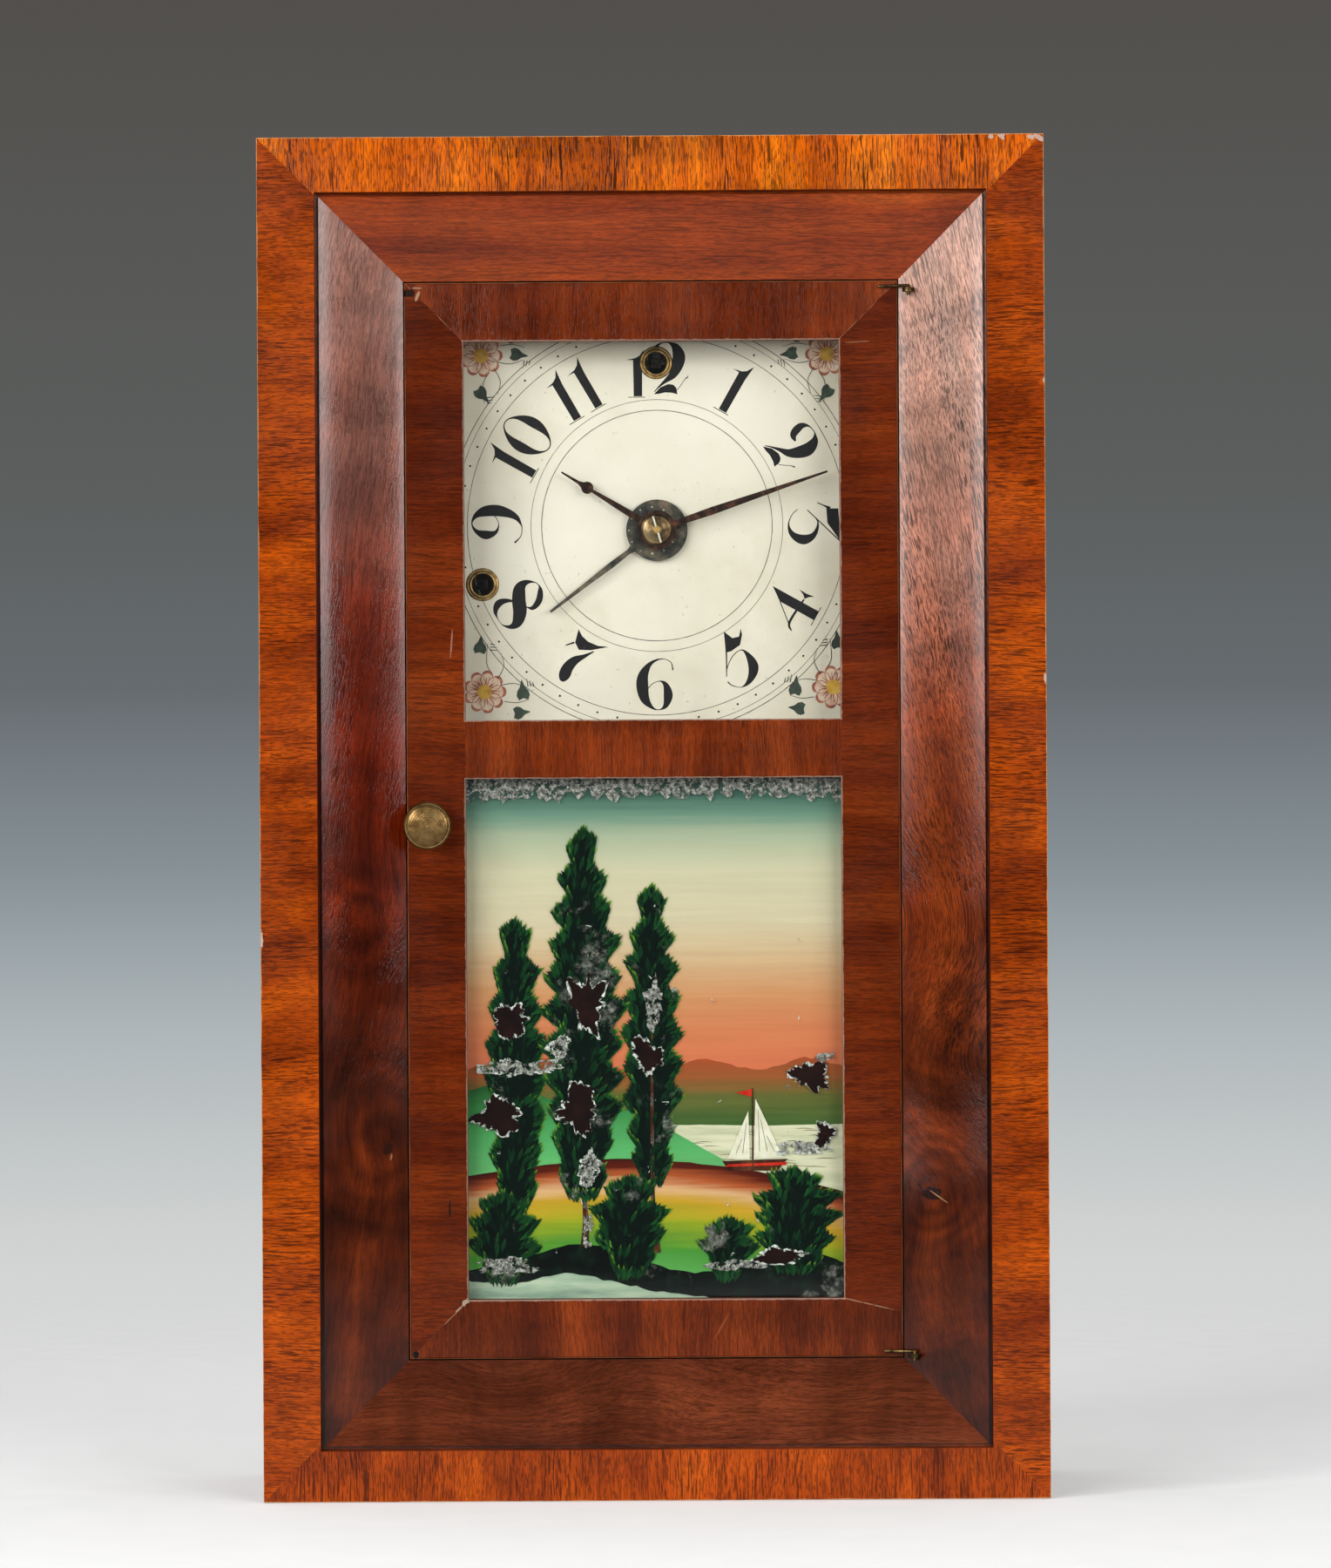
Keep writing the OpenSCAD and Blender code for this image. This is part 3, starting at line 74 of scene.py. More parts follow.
print(f"case {case_w / MM:.0f} mm wide, {case_h / MM:.0f} mm high")

# %% [markdown]
# ## The camera
# A sale photograph of a clock is taken square on, from far enough away that no side shows. The lens is
# worked out from the distance and from how many millimetres one pixel of the photograph covers. The clock
# leans a third of a degree in the picture, so the camera is rolled by as much.

# %% Camera square to the front
PHOTO_H = 1800
MM_PER_PIXEL = 0.2655
VIEW_DISTANCE = 2.2
AIM_X, AIM_Z = 3.7 * MM, 218.35 * MM
ROLL = math.radians(-0.33)

camera_data = bpy.data.cameras.new("camera")
camera_data.sensor_width = 36
camera_data.lens = camera_data.sensor_width * VIEW_DISTANCE / (PHOTO_H * MM_PER_PIXEL * MM)
camera = bpy.data.objects.new("camera", camera_data)
bpy.context.scene.collection.objects.link(camera)
bpy.context.scene.camera = camera
camera.matrix_world = (Matrix.Translation((AIM_X, cad_low.y - VIEW_DISTANCE, AIM_Z))
                       @ Matrix.Rotation(math.pi / 2, 4, "X") @ Matrix.Rotation(ROLL, 4, "Z"))
print(f"lens {camera_data.lens:.1f} mm")

# %% [markdown]
# ## Colours and nodes
# Colours are written as they look on a screen, from 0 to 255, and turned into the linear numbers that light
# is counted in. Two small classes keep the node code short. A Finish adds nodes to one material, and each
# of its methods hands back a Signal. Signals are added, multiplied and compared like numbers, and each such
# step is one more node.

# %% Short names for shader nodes
def screen(red, green, blue):
    """A colour as seen on screen, as linear red, green, blue and alpha."""
    def linear(value):
        value /= 255
        return value / 12.92 if value <= 0.04045 else ((value + 0.055) / 1.055) ** 2.4
    return (linear(red), linear(green), linear(blue), 1.0)


def fill_ramp(node, stops):
    """Gives a colour ramp its stops, each a position and a colour."""
    elements = node.color_ramp.elements
    while len(elements) < len(stops):
        elements.new(0.5)
    for element, (position, colour) in zip(elements, stops):
        element.position = position
        element.color = colour


class Signal:
    """A number or colour on its way through a material. Arithmetic on it adds the node that does the sum."""

    def __init__(self, finish, socket):
        self.finish = finish
        self.socket = socket

    def __add__(self, other):
        return self.finish.math("ADD", self, other)

    def __sub__(self, other):
        return self.finish.math("SUBTRACT", self, other)

    def __rsub__(self, other):
        return self.finish.math("SUBTRACT", other, self)

    def __mul__(self, other):
        return self.finish.math("MULTIPLY", self, other)

    def __truediv__(self, other):
        return self.finish.math("DIVIDE", self, other)

    def __pow__(self, other):
        return self.finish.math("POWER", self, other)

    def __gt__(self, other):
        return self.finish.math("GREATER_THAN", self, other)

    def __lt__(self, other):
        return self.finish.math("LESS_THAN", self, other)

    def __abs__(self):
        return self.finish.math("ABSOLUTE", self)


class Finish:
    """A material under construction, with one method for each kind of node that this clock needs."""

    def __init__(self, name, **constants):
        self.material = bpy.data.materials.new(name)
        self.material.use_nodes = True
        self.tree = self.material.node_tree
        self.shader = self.tree.nodes["Principled BSDF"]
        self.output = self.tree.nodes["Material Output"]
        self.set(**constants)

    def set(self, **values):
        """Sets or feeds the main shader's sockets, with _ for each blank in a socket's name."""
        for socket, value in values.items():
            self.plug(self.shader.inputs[socket.replace("_", " ")], value)
        return self.material

    def plug(self, socket, value):
        """Links a socket to what feeds it, or sets it to a constant."""
        if isinstance(value, Signal):
            self.tree.links.new(value.socket, socket)
        else:
            socket.default_value = value

    def add(self, kind, inputs=None, **settings):
        """A new node, with its inputs given by name or number."""
        node = self.tree.nodes.new("ShaderNode" + kind)
        for name, value in settings.items():
            setattr(node, name, value)
        for key, value in (inputs or {}).items():
            self.plug(node.inputs[key], value)
        return node

    def take(self, kind, inputs=None, output=0, **settings):
        """One output of a new node."""
        return Signal(self, self.add(kind, inputs, **settings).outputs[output])

    def math(self, kind, first, second=0.0):
        return self.take("Math", {0: first, 1: second}, operation=kind)

    def least(self, first, second):
        return self.math("MINIMUM", first, second)

    def most(self, first, second):
        return self.math("MAXIMUM", first, second)

    def where(self):
        """The point's place in the shared frame, in metres."""
        return self.take("TexCoord", output="Object")

    def facing(self):
        """The way that the surface faces."""
        return self.take("TexCoord", output="Normal")

    def axis(self, vector, letter):
        return self.take("SeparateXYZ", {0: vector}, "XYZ".index(letter))

    def gap_to(self, centre):
        """Distance from a point."""
        return self.take("VectorMath", {0: self.where(), 1: centre}, "Value", operation="DISTANCE")

    def off_axis(self, vector):
        """Distance of a vector from the Y axis."""
        flat = self.take("VectorMath", {0: vector, 1: (1, 0, 1)}, operation="MULTIPLY")
        return self.take("VectorMath", {0: flat}, "Value", operation="LENGTH")

    def swapped(self, share):
        """The place of a point, with X and Z swapped where share is 1."""
        here = self.where()
        turned = self.take("CombineXYZ", {0: self.axis(here, "Z"), 1: self.axis(here, "Y"),
                                          2: self.axis(here, "X")})
        return self.take("Mix", {0: share, 4: here, 5: turned}, 1, data_type="VECTOR")

    def noise(self, scale, source=None, detail=2.0, rough=0.5, colour=False):
        """Noise with scale lumps to a metre, or with a scale of its own for each axis."""
        scales = scale if isinstance(scale, tuple) else (scale,) * 3
        placed = self.take("Mapping", {"Vector": source or self.where(), "Scale": scales})
        return self.take("TexNoise", {"Vector": placed, "Scale": 1.0, "Detail": detail, "Roughness": rough},
                         "Color" if colour else "Fac")

    def cracks(self, scale):
        """Distance from the cracks between cells, scale cells to a metre."""
        placed = self.take("Mapping", {"Vector": self.where(), "Scale": (scale,) * 3})
        return self.take("TexVoronoi", {"Vector": placed}, "Distance", feature="DISTANCE_TO_EDGE")

    def range(self, value, low, high, new_low=0.0, new_high=1.0):
        """value's stretch from low to high, as new_low to new_high, with soft ends."""
        return self.take("MapRange", {"Value": value, "From Min": low, "From Max": high,
                                      "To Min": new_low, "To Max": new_high},
                         interpolation_type="SMOOTHSTEP")

    def ramp(self, value, stops):
        """Colour for a value, blended between stops."""
        node = self.add("ValToRGB", {"Fac": value})
        fill_ramp(node, stops)
        return Signal(self, node.outputs["Color"])

    def shade(self, value, tones, low, high):
        """Three tones: the first up to low, the second at a half, the third from high on."""
        return self.ramp(value, [(at, screen(*tone)) for at, tone in zip((low, 0.5, high), tones)])

    def over(self, share, below, above):
        """Colour above laid over colour below, as much as share says."""
        return self.take("Mix", {0: share, 6: below, 7: above}, 2, data_type="RGBA")

    def gain(self, colour, factor):
        """Colour made brighter or darker."""
        return self.take("VectorMath", {0: colour, "Scale": factor}, operation="SCALE")

    def warp(self, vector, scale, amount, detail=1.0):
        """vector pushed about by a slow noise."""
        push = self.noise(scale, detail=detail, colour=True)
        centred = self.take("VectorMath", {0: push, 1: (0.5, 0.5, 0.5)}, operation="SUBTRACT")
        moved = self.take("VectorMath", {0: centred, "Scale": amount}, operation="SCALE")
        return self.take("VectorMath", {0: vector, 1: moved}, operation="ADD")

    def near(self, depth, reach):
        """1 in front of a depth, 0 beyond reach behind it."""
        return self.range(self.axis(self.where(), "Y"), depth, depth + reach, 1.0, 0.0)

    def relief(self, height, depth):
        """Bump from a height of 0 to 1 that stands for depth metres."""
        self.set(Normal=self.take("Bump", {"Height": height, "Strength": 1.0, "Distance": depth}))

    def surface(self, share, first, second):
        """Sends a blend of two shaders to the surface, the second as much as share says."""
        self.plug(self.output.inputs["Surface"], self.take("MixShader", {0: share, 1: first, 2: second}))
        return self.material


def dress(material, *names):
    """Gives a carried-over solid its material."""
    for name in names:
        slots = nodes[name].data.materials
        slots.clear()
        slots.append(material)


print("node helpers ready")

# %% [markdown]
# ## Rounding what the lathe turned
# The solids come as flat triangles, so a dome or a curved moulding shows facets. Each curved piece is
# replaced by a copy whose corners are welded, with soft shading inside a face and a hard edge wherever two
# faces meet at more than the limit angle. The shape itself stays as it was made.

# %% Softly shaded copies of the curved solids
SOFT_LIMIT = math.radians(30)
WELD_GAP = 0.0005 * MM
body_of_node = {name: body for body, names in frame["record"]["behaviour"]["bodies"].items()
                for name in names}


def new_piece(title, mesh, body):
    """An object with this mesh, on the body that it moves with."""
    piece = bpy.data.objects.new(title, mesh)
    bpy.context.scene.collection.objects.link(piece)
    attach(piece, body)
    return piece


def stand_in(title, mesh, name):
    """An object with this mesh, which rides and is finished as the solid that it replaces."""
    piece = new_piece(title, mesh, body_of_node[name])
    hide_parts(name)
    nodes[name] = piece


def into_mesh(shape, mesh, limit):
    """Keeps the edges sharp where faces meet at limit or more, and writes the shape into the mesh."""
    for edge in shape.edges:
        edge.smooth = len(edge.link_faces) == 2 and edge.calc_face_angle(0.0) < limit
    shape.to_mesh(mesh)
    shape.free()
    return mesh


def softened(name):
    """A welded, softly shaded copy that stands for a curved solid."""
    mesh = nodes[name].data.copy()
    shape = bmesh.new()
    shape.from_mesh(mesh)
    bmesh.ops.remove_doubles(shape, verts=shape.verts, dist=WELD_GAP)
    for face in shape.faces:
        face.smooth = True
    stand_in(name + "_softened", into_mesh(shape, mesh, SOFT_LIMIT), name)


CURVED = ["knob", "hand_washer", "hinge_eyes", "hinge_wires", "pendulum_bob", "rating_nut",
          "pendulum_rod", "bell", "dial_pins", "movement_screws", "time_pillars", "alarm_pillars",
          "bell_post", "winding_arbor", "alarm_arbor", "centre_arbor", "cannon_pinion"]
for solid in CURVED:
    softened(solid)
print(f"{len(CURVED)} curved solids shaded soft")

# %% [markdown]
# ## Eyelets round the winding holes
# A brass eyelet is pressed into each hole to keep the key from chipping the paint. A press tool leaves a
# rounded lip, a shallow groove and a thin outer flange. Such a ring is a section turned about an axis, so
# the section's points are set out again at each step round the circle and joined to those of the step
# before.

# %% One section, turned twice
EYELET_BOX_R = 5.5 * MM
EYELET = [(3.25, -1.2), (3.25, 0.4), (3.4, 0.68), (3.75, 0.78), (4.1, 0.68), (4.35, 0.42), (4.6, 0.46),
          (4.85, 0.42), (5.1, 0.2), (5.12, 0.0), (4.3, 0.0), (4.3, -1.2)]
EYELET_STEPS = 72
EYELET_LIMIT = math.radians(50)
eyelet_low, eyelet_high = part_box("winding_grommets")
EYELETS = [(eyelet_low.x + EYELET_BOX_R, eyelet_low.z + EYELET_BOX_R),
           (eyelet_high.x - EYELET_BOX_R, eyelet_high.z - EYELET_BOX_R)]


def turned_eyelets(front):
    """Both eyelets as one closed mesh each, on the dial's front."""
    shape = bmesh.new()
    for x, z in EYELETS:
        rows = []
        for i in range(EYELET_STEPS):
            across, rise = math.cos(math.tau * i / EYELET_STEPS), math.sin(math.tau * i / EYELET_STEPS)
            rows.append([shape.verts.new((x + radius * MM * across, front - out * MM,
                                          z + radius * MM * rise))
                         for radius, out in EYELET])
        for row, following in zip(rows, rows[1:] + rows[:1]):
            for k in range(len(EYELET)):
                after = (k + 1) % len(EYELET)
                shape.faces.new((row[k], row[after], following[after], following[k])).smooth = True
    bmesh.ops.recalc_face_normals(shape, faces=shape.faces)
    return into_mesh(shape, bpy.data.meshes.new("winding_eyelets"), EYELET_LIMIT)


stand_in("winding_eyelets", turned_eyelets(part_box("dial_plate")[0].y), "winding_grommets")
print(f"{len(EYELETS)} eyelets of {len(EYELET)} points")

# %% [markdown]
# ## Mahogany veneer
# Veneer is a thin slice of wood, so its pattern is flat and its grain direction is chosen piece by piece.
# Painted pictures of wood would repeat and stretch. Noise that is squeezed across the grain and drawn out
# along it gives streaks of any length, and a far finer one gives the short dark pores that mahogany is
# known by.

# %% A veneer with its grain along one axis
# The pale rosy colour of the sheen that is painted into the upper ogee veneer: a painted highlight.
PAINTED_SHEEN_TONE = (198, 166, 148)
PORE_DEPTH = 0.009 * MM
MARKS_END_Y = -20 * MM


def drawn_out(grain, along, across):
    """Pattern scale per metre, coarse along the grain and fine across it."""
    return tuple(along if axis == grain else across for axis in "XYZ")


def veneer_layers(finish, source, grain, tones, ribbon=0.5, streak=0.8, pore=0.6, figure=6, painted_sheen=0.0):
    """Colour and height of a veneer: slow tones, painted sheen, cross-grain ribbon, long streaks and pores.
    """
    slow = finish.noise(drawn_out(grain, figure, 62), source, detail=5, rough=0.6)
    colour = finish.shade(slow, tones, 0.3, 0.7)
    # Painted sheen: the pale tone is laid over the veneer where the polish catches the light.
    colour = finish.over(painted_sheen, colour, screen(*PAINTED_SHEEN_TONE))
    bands = finish.noise(drawn_out(grain, 70, 15), source, detail=3)
    colour = finish.gain(colour, finish.range(bands, 0.3, 0.7, 1 - ribbon / 2, 1 + ribbon / 2))
    lines = finish.noise(drawn_out(grain, 40, 900), source, detail=4, rough=0.7)
    colour = finish.gain(colour, finish.range(lines, 0.25, 0.75, 1 - streak / 2, 1 + streak / 2))
    strong = finish.range(finish.noise(drawn_out(grain, 12, 75), source), 0.38, 0.6, 0.55, 1.0)
    dashes = finish.range(finish.noise(drawn_out(grain, 120, 2100), source, detail=1), 0.53, 0.62)
    pores = finish.range(finish.noise(drawn_out(grain, 380, 3000), source, detail=1), 0.5, 0.62)
    marked = finish.most(dashes * strong, pores * 0.7)
    colour = finish.gain(colour, 1.0 - marked * pore)
    swell = finish.noise(drawn_out(grain, 30, 90), source, detail=2)
    return colour, swell * 1.2 - marked + lines * 0.7


def mark(finish, colour, at_x, at_z, half_x, half_z, tilt, tone, ragged=0.9, depth=MARKS_END_Y):
    """A chip, gouge or crack: a ragged oval of another colour, no further back than depth.

    Its place and its two half widths are in millimetres on the front, and its tilt is in degrees."""
    local = finish.take("Mapping", {"Vector": finish.where(), "Location": (at_x * MM, 0, at_z * MM),
                                    "Rotation": (0, math.radians(tilt), 0),
                                    "Scale": (half_x * MM, 1, half_z * MM)}, vector_type="TEXTURE")
    size = finish.off_axis(local) + (finish.noise(700, detail=3) - 0.5) * ragged
    share = finish.range(size, 0.85, 1.05, 1.0, 0.0) * finish.near(depth, 1 * MM)
    return finish.over(share, colour, screen(*tone))


def varnish(finish, colour, height, gloss=0.16, shine=0.2):
    """Old shellac: a thin glossy skin that sinks into the pores.

    Only the front was polished, so whatever faces another way is dull."""
    finish.relief(height, PORE_DEPTH)
    smears = finish.noise(35, detail=3)
    away = finish.range(finish.axis(finish.facing(), "Y"), -0.7, -0.3, 0.0, 0.4)
    rough = finish.range(smears, 0.3, 0.7, gloss - 0.03, gloss + 0.05) + away
    return finish.set(Base_Color=colour, Roughness=rough, Specular_IOR_Level=shine)


print("veneer recipe ready")

# %% [markdown]
# ## The outer border
# The flat border is crossbanded: its grain runs from the edge inwards on all four sides, so it turns by a
# right angle at each mitre. One material does all four strips. It compares how far a point is from the
# nearest side with how far it is from the nearest end, and swaps the two axes where the end is nearer.

# %% Crossbanded border
SIDE_TONES = [(76, 27, 8), (108, 44, 14), (136, 64, 26)]
STRIP_TONES = [(104, 34, 2), (142, 54, 2), (174, 74, 4)]
TOP_STRIP_TONES = [(140, 54, 2), (184, 82, 2), (214, 112, 8)]
FOOT_FROM, FOOT_TO, FOOT_GAIN = 4 * MM, 30 * MM, 1.2
RIM_W = 0.5 * MM
CHIP_TONE = (178, 150, 136)
BORDER_CHIPS = [(118.6, 414.8, 1.5, 0.8, 40), (116.4, 415, 1.2, 0.7, 0), (107.4, 415.2, 1.1, 0.9, 0),
                (104.2, 415.2, 0.9, 0.8, 0), (119.6, 250, 0.4, 1.4, 0), (-119.7, 172, 0.35, 2.4, 0),
                (119.7, 341, 0.3, 1.2, 0)]


def crossband():
    """All four strips and the case's flanks in one material."""
    finish = Finish("crossband_veneer")
    here = finish.where()
    x, z = finish.axis(here, "X"), finish.axis(here, "Z")
    to_side = case_w / 2 - abs(x)
    to_end = case_h / 2 - abs(z - case_h / 2)
    on_end = to_end < to_side
    on_top = on_end * (z > case_h / 2)
    source = finish.warp(finish.swapped(on_end), 18, 0.004)
    side, _ = veneer_layers(finish, source, "X", STRIP_TONES, ribbon=0.2, streak=0.45, pore=0.7, figure=24)
    top, height = veneer_layers(finish, source, "X", TOP_STRIP_TONES, ribbon=0.5, streak=0.5, pore=0.85)
    colour = finish.over(on_top, side, top)
    colour = finish.gain(colour, finish.range(z, FOOT_FROM, FOOT_TO, FOOT_GAIN, 1.0))
    flank = abs(finish.axis(finish.facing(), "X")) > 0.5
    plain_side, _ = veneer_layers(finish, here, "Z", SIDE_TONES, ribbon=0.25, streak=0.6, pore=0.5)
    colour = finish.over(flank, colour, plain_side)
    patchy = finish.noise(130, detail=4, rough=0.7)
    rim = finish.least(to_side, to_end) + patchy * (1.8 * RIM_W)
    share = finish.range(rim, RIM_W, 1.5 * RIM_W, 0.6, 0.0) * finish.near(cad_low.y + RIM_W, 0.3 * MM)
    colour = finish.over(share, colour, screen(206, 150, 96))
    for spot in BORDER_CHIPS:
        colour = mark(finish, colour, *spot, CHIP_TONE, ragged=2.4, depth=cad_low.y + 1.2 * MM)
    return varnish(finish, colour, height)


dress(crossband(), "border_strips")
print("border dressed")

# %% [markdown]
# ## The ogee moulding
# The broad moulding runs round the door like a picture frame, with a hollow inside and a round outside. A
# joiner planes one long length and saws it at 45 degrees. Here the same section is placed at both ends of
# each member, each of its points as far out as it lies from the door, which gives the mitres by itself. So
# fine a curve keeps one soft highlight, where the solid's few facets would break it into stripes.

# %% One section, four mitred members
CURVE_STEPS = 12
CURVE_SAG = 0.024
QUIRK_W, QUIRK_D = 1.2 * MM, 1.6 * MM
top_low, top_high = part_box("ogee_top")
foot_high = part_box("ogee_bottom")[1]
door_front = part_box("door_stile_left")[0].y
open_x, open_lo, open_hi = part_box("ogee_right")[0].x, foot_high.z, top_low.z
ogee_w = top_high.z - top_low.z


def ogee_section():
    """Points of the section as (distance out from the door opening, depth), the front's first."""
    run = ogee_w - QUIRK_W
    start, end = Vector((0, door_front)), Vector((run, top_low.y))
    middle, across = (start + end) / 2, (end - start)
    up = Vector((across.y, -across.x)).normalized() * across.length / 2 * CURVE_SAG
    points = []
    for first, last, bulge in ((start, middle, -1), (middle, end, 1)):
        for i in range(CURVE_STEPS):
            t = i / CURVE_STEPS
            points.append(first.lerp(last, t) + up * bulge * 4 * t * (1 - t))
    quirk_y = top_low.y + QUIRK_D
    back = [(run, top_low.y), (run, quirk_y), (ogee_w, quirk_y), (ogee_w, top_high.y), (0.0, top_high.y)]
    return [tuple(point) for point in points] + back


def ogee_member(side):
    """A member's closed mesh: the section at its two mitres, joined by long faces.

    Each mitre is named by its side, -1 or 1, and by 1 where it is a high one."""
    shape = bmesh.new()
    rows = []
    for sign, high in ENDS[side]:
        rows.append([shape.verts.new((sign * (open_x + out), depth,
                                      open_hi + out if high else open_lo - out))
                     for out, depth in section])
    near, far = rows
    for i in range(len(section)):
        after = (i + 1) % len(section)
        face = shape.faces.new((near[i], near[after], far[after], far[i]))
        face.smooth = i < 2 * CURVE_STEPS
    shape.faces.new(near)
    shape.faces.new(far)
    bmesh.ops.recalc_face_normals(shape, faces=shape.faces)
    return into_mesh(shape, bpy.data.meshes.new("ogee_" + side), SOFT_LIMIT)


ENDS = {"top": [(-1, 1), (1, 1)], "bottom": [(-1, 0), (1, 0)], "left": [(-1, 0), (-1, 1)],
        "right": [(1, 0), (1, 1)]}
section = ogee_section()
for side in ENDS:
    stand_in(f"ogee_{side}_moulding", ogee_member(side), "ogee_" + side)
print(f"ogee section of {len(section)} points, four members")

# %% [markdown]
# ## Veneer on the ogee
# The broad moulding is veneered with wood from a fork of the tree. Its grain runs along each side, and low
# down it bends into the swirls and flames that are prized as crotch figure. The swirl is made by turning
# the pattern's own coordinates about a few centres before the grain is drawn, which no amount of extra
# noise can imitate.

# %% Straight and swirling ogee veneer
KNOT_SQUASH = 0.8
CROTCH_FROM, CROTCH_TO = 150 * MM, 300 * MM


def swirl(finish, vector, at_x, at_z, reach, turns):
    """vector turned about a point on the front, most at the point and not at all beyond reach."""
    centre = (at_x * MM, 0, at_z * MM)
    angle = finish.range(finish.gap_to(centre), 0.0, reach * MM, turns * math.tau, 0.0)
    return finish.take("VectorRotate", {"Vector": vector, "Center": centre, "Angle": angle},
                       rotation_type="Y_AXIS")


def eye(finish, colour, at_x, at_z, reach, spacing):
    """Wavy rings round a knot, strongest close to it and a little higher than wide."""
    flat = finish.take("VectorMath", {0: finish.where(), 1: (1, 0, KNOT_SQUASH)}, operation="MULTIPLY")
    centre = (at_x * MM, 0, at_z * MM * KNOT_SQUASH)
    gap = finish.take("VectorMath", {0: flat, 1: centre}, "Value", operation="DISTANCE")
    shaken = gap + finish.noise(55, detail=2) * (9 * MM)
    rings = finish.math("SINE", shaken * (math.tau / (spacing * MM)))
    fade = finish.range(gap, 2 * MM, reach * MM, 0.26, 0.0)
    return finish.gain(colour, 1.0 - rings * fade)


def painted_sheen_share(finish, low, high, most):
    """Share of the pale sheen painted into the veneer, growing with height and patchy."""
    cloud = finish.noise(24, detail=3)
    level = finish.axis(finish.where(), "Z") + cloud * 0.07
    return finish.range(level, low * MM, high * MM, 0.0, most)


def ogee_veneer(name, grain, tones, low_tones=None, swirls=(), marks=(), lean=0.0, ribbon=0.5, pore=0.45,
                painted_sheen=(600, 700, 0.0), eyes=()):
    """A member's veneer: swirls and eyes bend its figure, and low_tones take over towards the foot."""
    finish = Finish(name)
    source = finish.warp(finish.where(), 9, 0.012, detail=2)
    source = finish.take("VectorRotate", {"Vector": source, "Angle": math.radians(lean)},
                         rotation_type="Y_AXIS")
    for knot in swirls:
        source = swirl(finish, source, *knot)
    colour, height = veneer_layers(finish, source, grain, tones, ribbon=ribbon, streak=0.55, pore=pore,
                                   painted_sheen=painted_sheen_share(finish, *painted_sheen))
    if low_tones:
        low, _ = veneer_layers(finish, source, grain, low_tones, ribbon=0.8, streak=0.5, pore=0.3,
                               figure=20)
        wavy = finish.axis(finish.where(), "Z") + finish.noise((30, 30, 14), source) * 0.1
        colour = finish.over(finish.range(wavy, CROTCH_FROM, CROTCH_TO), low, colour)
    for knot in eyes:
        colour = eye(finish, colour, *knot)
    for spot in marks:
        colour = mark(finish, colour, *spot)
    return varnish(finish, colour, height, gloss=0.12, shine=0.3)


HONEY = [(104, 32, 4), (136, 52, 9), (158, 72, 20)]
RED = [(102, 34, 8), (138, 56, 18), (166, 80, 32)]
DEEP = [(66, 13, 2), (94, 24, 5), (122, 38, 11)]
DARK = [(38, 10, 1), (66, 21, 4), (100, 38, 9)]
BROWN = [(66, 26, 12), (90, 40, 21), (112, 54, 30)]

LEFT_SWIRLS = [(-96, 128, 50, -0.35), (-78, 70, 40, 0.3), (-88, 190, 50, 0.25)]
LEFT_MARKS = [(-82, 107, 1.3, 2.0, 20, (40, 14, 8)), (-81, 104.6, 0.35, 1.1, 10, (124, 88, 56))]
RIGHT_MARKS = [(84.5, 92.5, 3.2, 2.2, 0, (34, 12, 8)), (86.6, 91.6, 3.2, 0.24, 35, (138, 98, 68))]

dress(ogee_veneer("ogee_veneer_top", "X", HONEY, ribbon=0.2), "ogee_top")
dress(ogee_veneer("ogee_veneer_bottom", "X", BROWN, swirls=[(-24, 34, 60, 0.22), (38, 30, 52, -0.2)]),
      "ogee_bottom")
# The two side members carry a painted sheen that grows towards their tops, strongest on the right.
dress(ogee_veneer("ogee_veneer_left", "Z", DEEP, DARK, LEFT_SWIRLS, LEFT_MARKS, lean=-9,
                  painted_sheen=(270, 430, 0.27), eyes=[(-84, 112, 34, 7), (-90, 178, 26, 8)]), "ogee_left")
dress(ogee_veneer("ogee_veneer_right", "Z", RED, DARK, [(84, 92, 44, 0.55), (100, 150, 70, -0.3)],
                  RIGHT_MARKS, lean=14, pore=0.75, painted_sheen=(235, 415, 0.55),
                  eyes=[(84.5, 92.5, 30, 4.2), (92, 150, 26, 8)]), "ogee_right")
print("ogee dressed")

# %% [markdown]
# ## The door
# The door's stiles and rails are crossbanded like the border, in darker wood, and the strips of veneer meet
# in mitres that run across the joints of the wood below. One material covers all its members. It compares
# how far a point lies outside the windows, sideways and upwards, and turns the grain where the second is
# greater. A hundred and fifty years of use have rubbed the door's outline and its mitres pale.

# %% Crossbanded door with rubbed edges
door_low, door_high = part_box("door_stile_left")[0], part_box("door_stile_right")[1]
MEMBER_W = 18 * MM
RUB_W, RUB_SHARE = 0.45 * MM, 0.62
window_x = door_high.x - MEMBER_W
window_top, window_foot = door_high.z - MEMBER_W, door_low.z + MEMBER_W
MITRE_SLOPE, FOOT_RIGHT_SLOPE = 1.0, 0.24
DIAL_WINDOW_H, TABLET_WINDOW_H = 116.2 * MM, 159.8 * MM
DIAL_WINDOW = (window_top - DIAL_WINDOW_H, window_top)
TABLET_WINDOW = (window_foot, window_foot + TABLET_WINDOW_H)


def rubbed(finish, colour, low, high, tone):
    """A worn line along the inside of a rectangle on the front."""
    here = finish.where()
    x, z = finish.axis(here, "X"), finish.axis(here, "Z")
    nearest = finish.least(finish.least(x - low.x, high.x - x), finish.least(z - low.z, high.z - z))
    patchy = finish.noise(140, detail=4, rough=0.7)
    width = nearest + patchy * (1.7 * RUB_W)
    share = finish.range(width, 1.1 * RUB_W, 1.7 * RUB_W, RUB_SHARE, 0.0)
    share = share * finish.near(door_low.y + RUB_W, RUB_W)
    return finish.over(share, colour, screen(*tone))


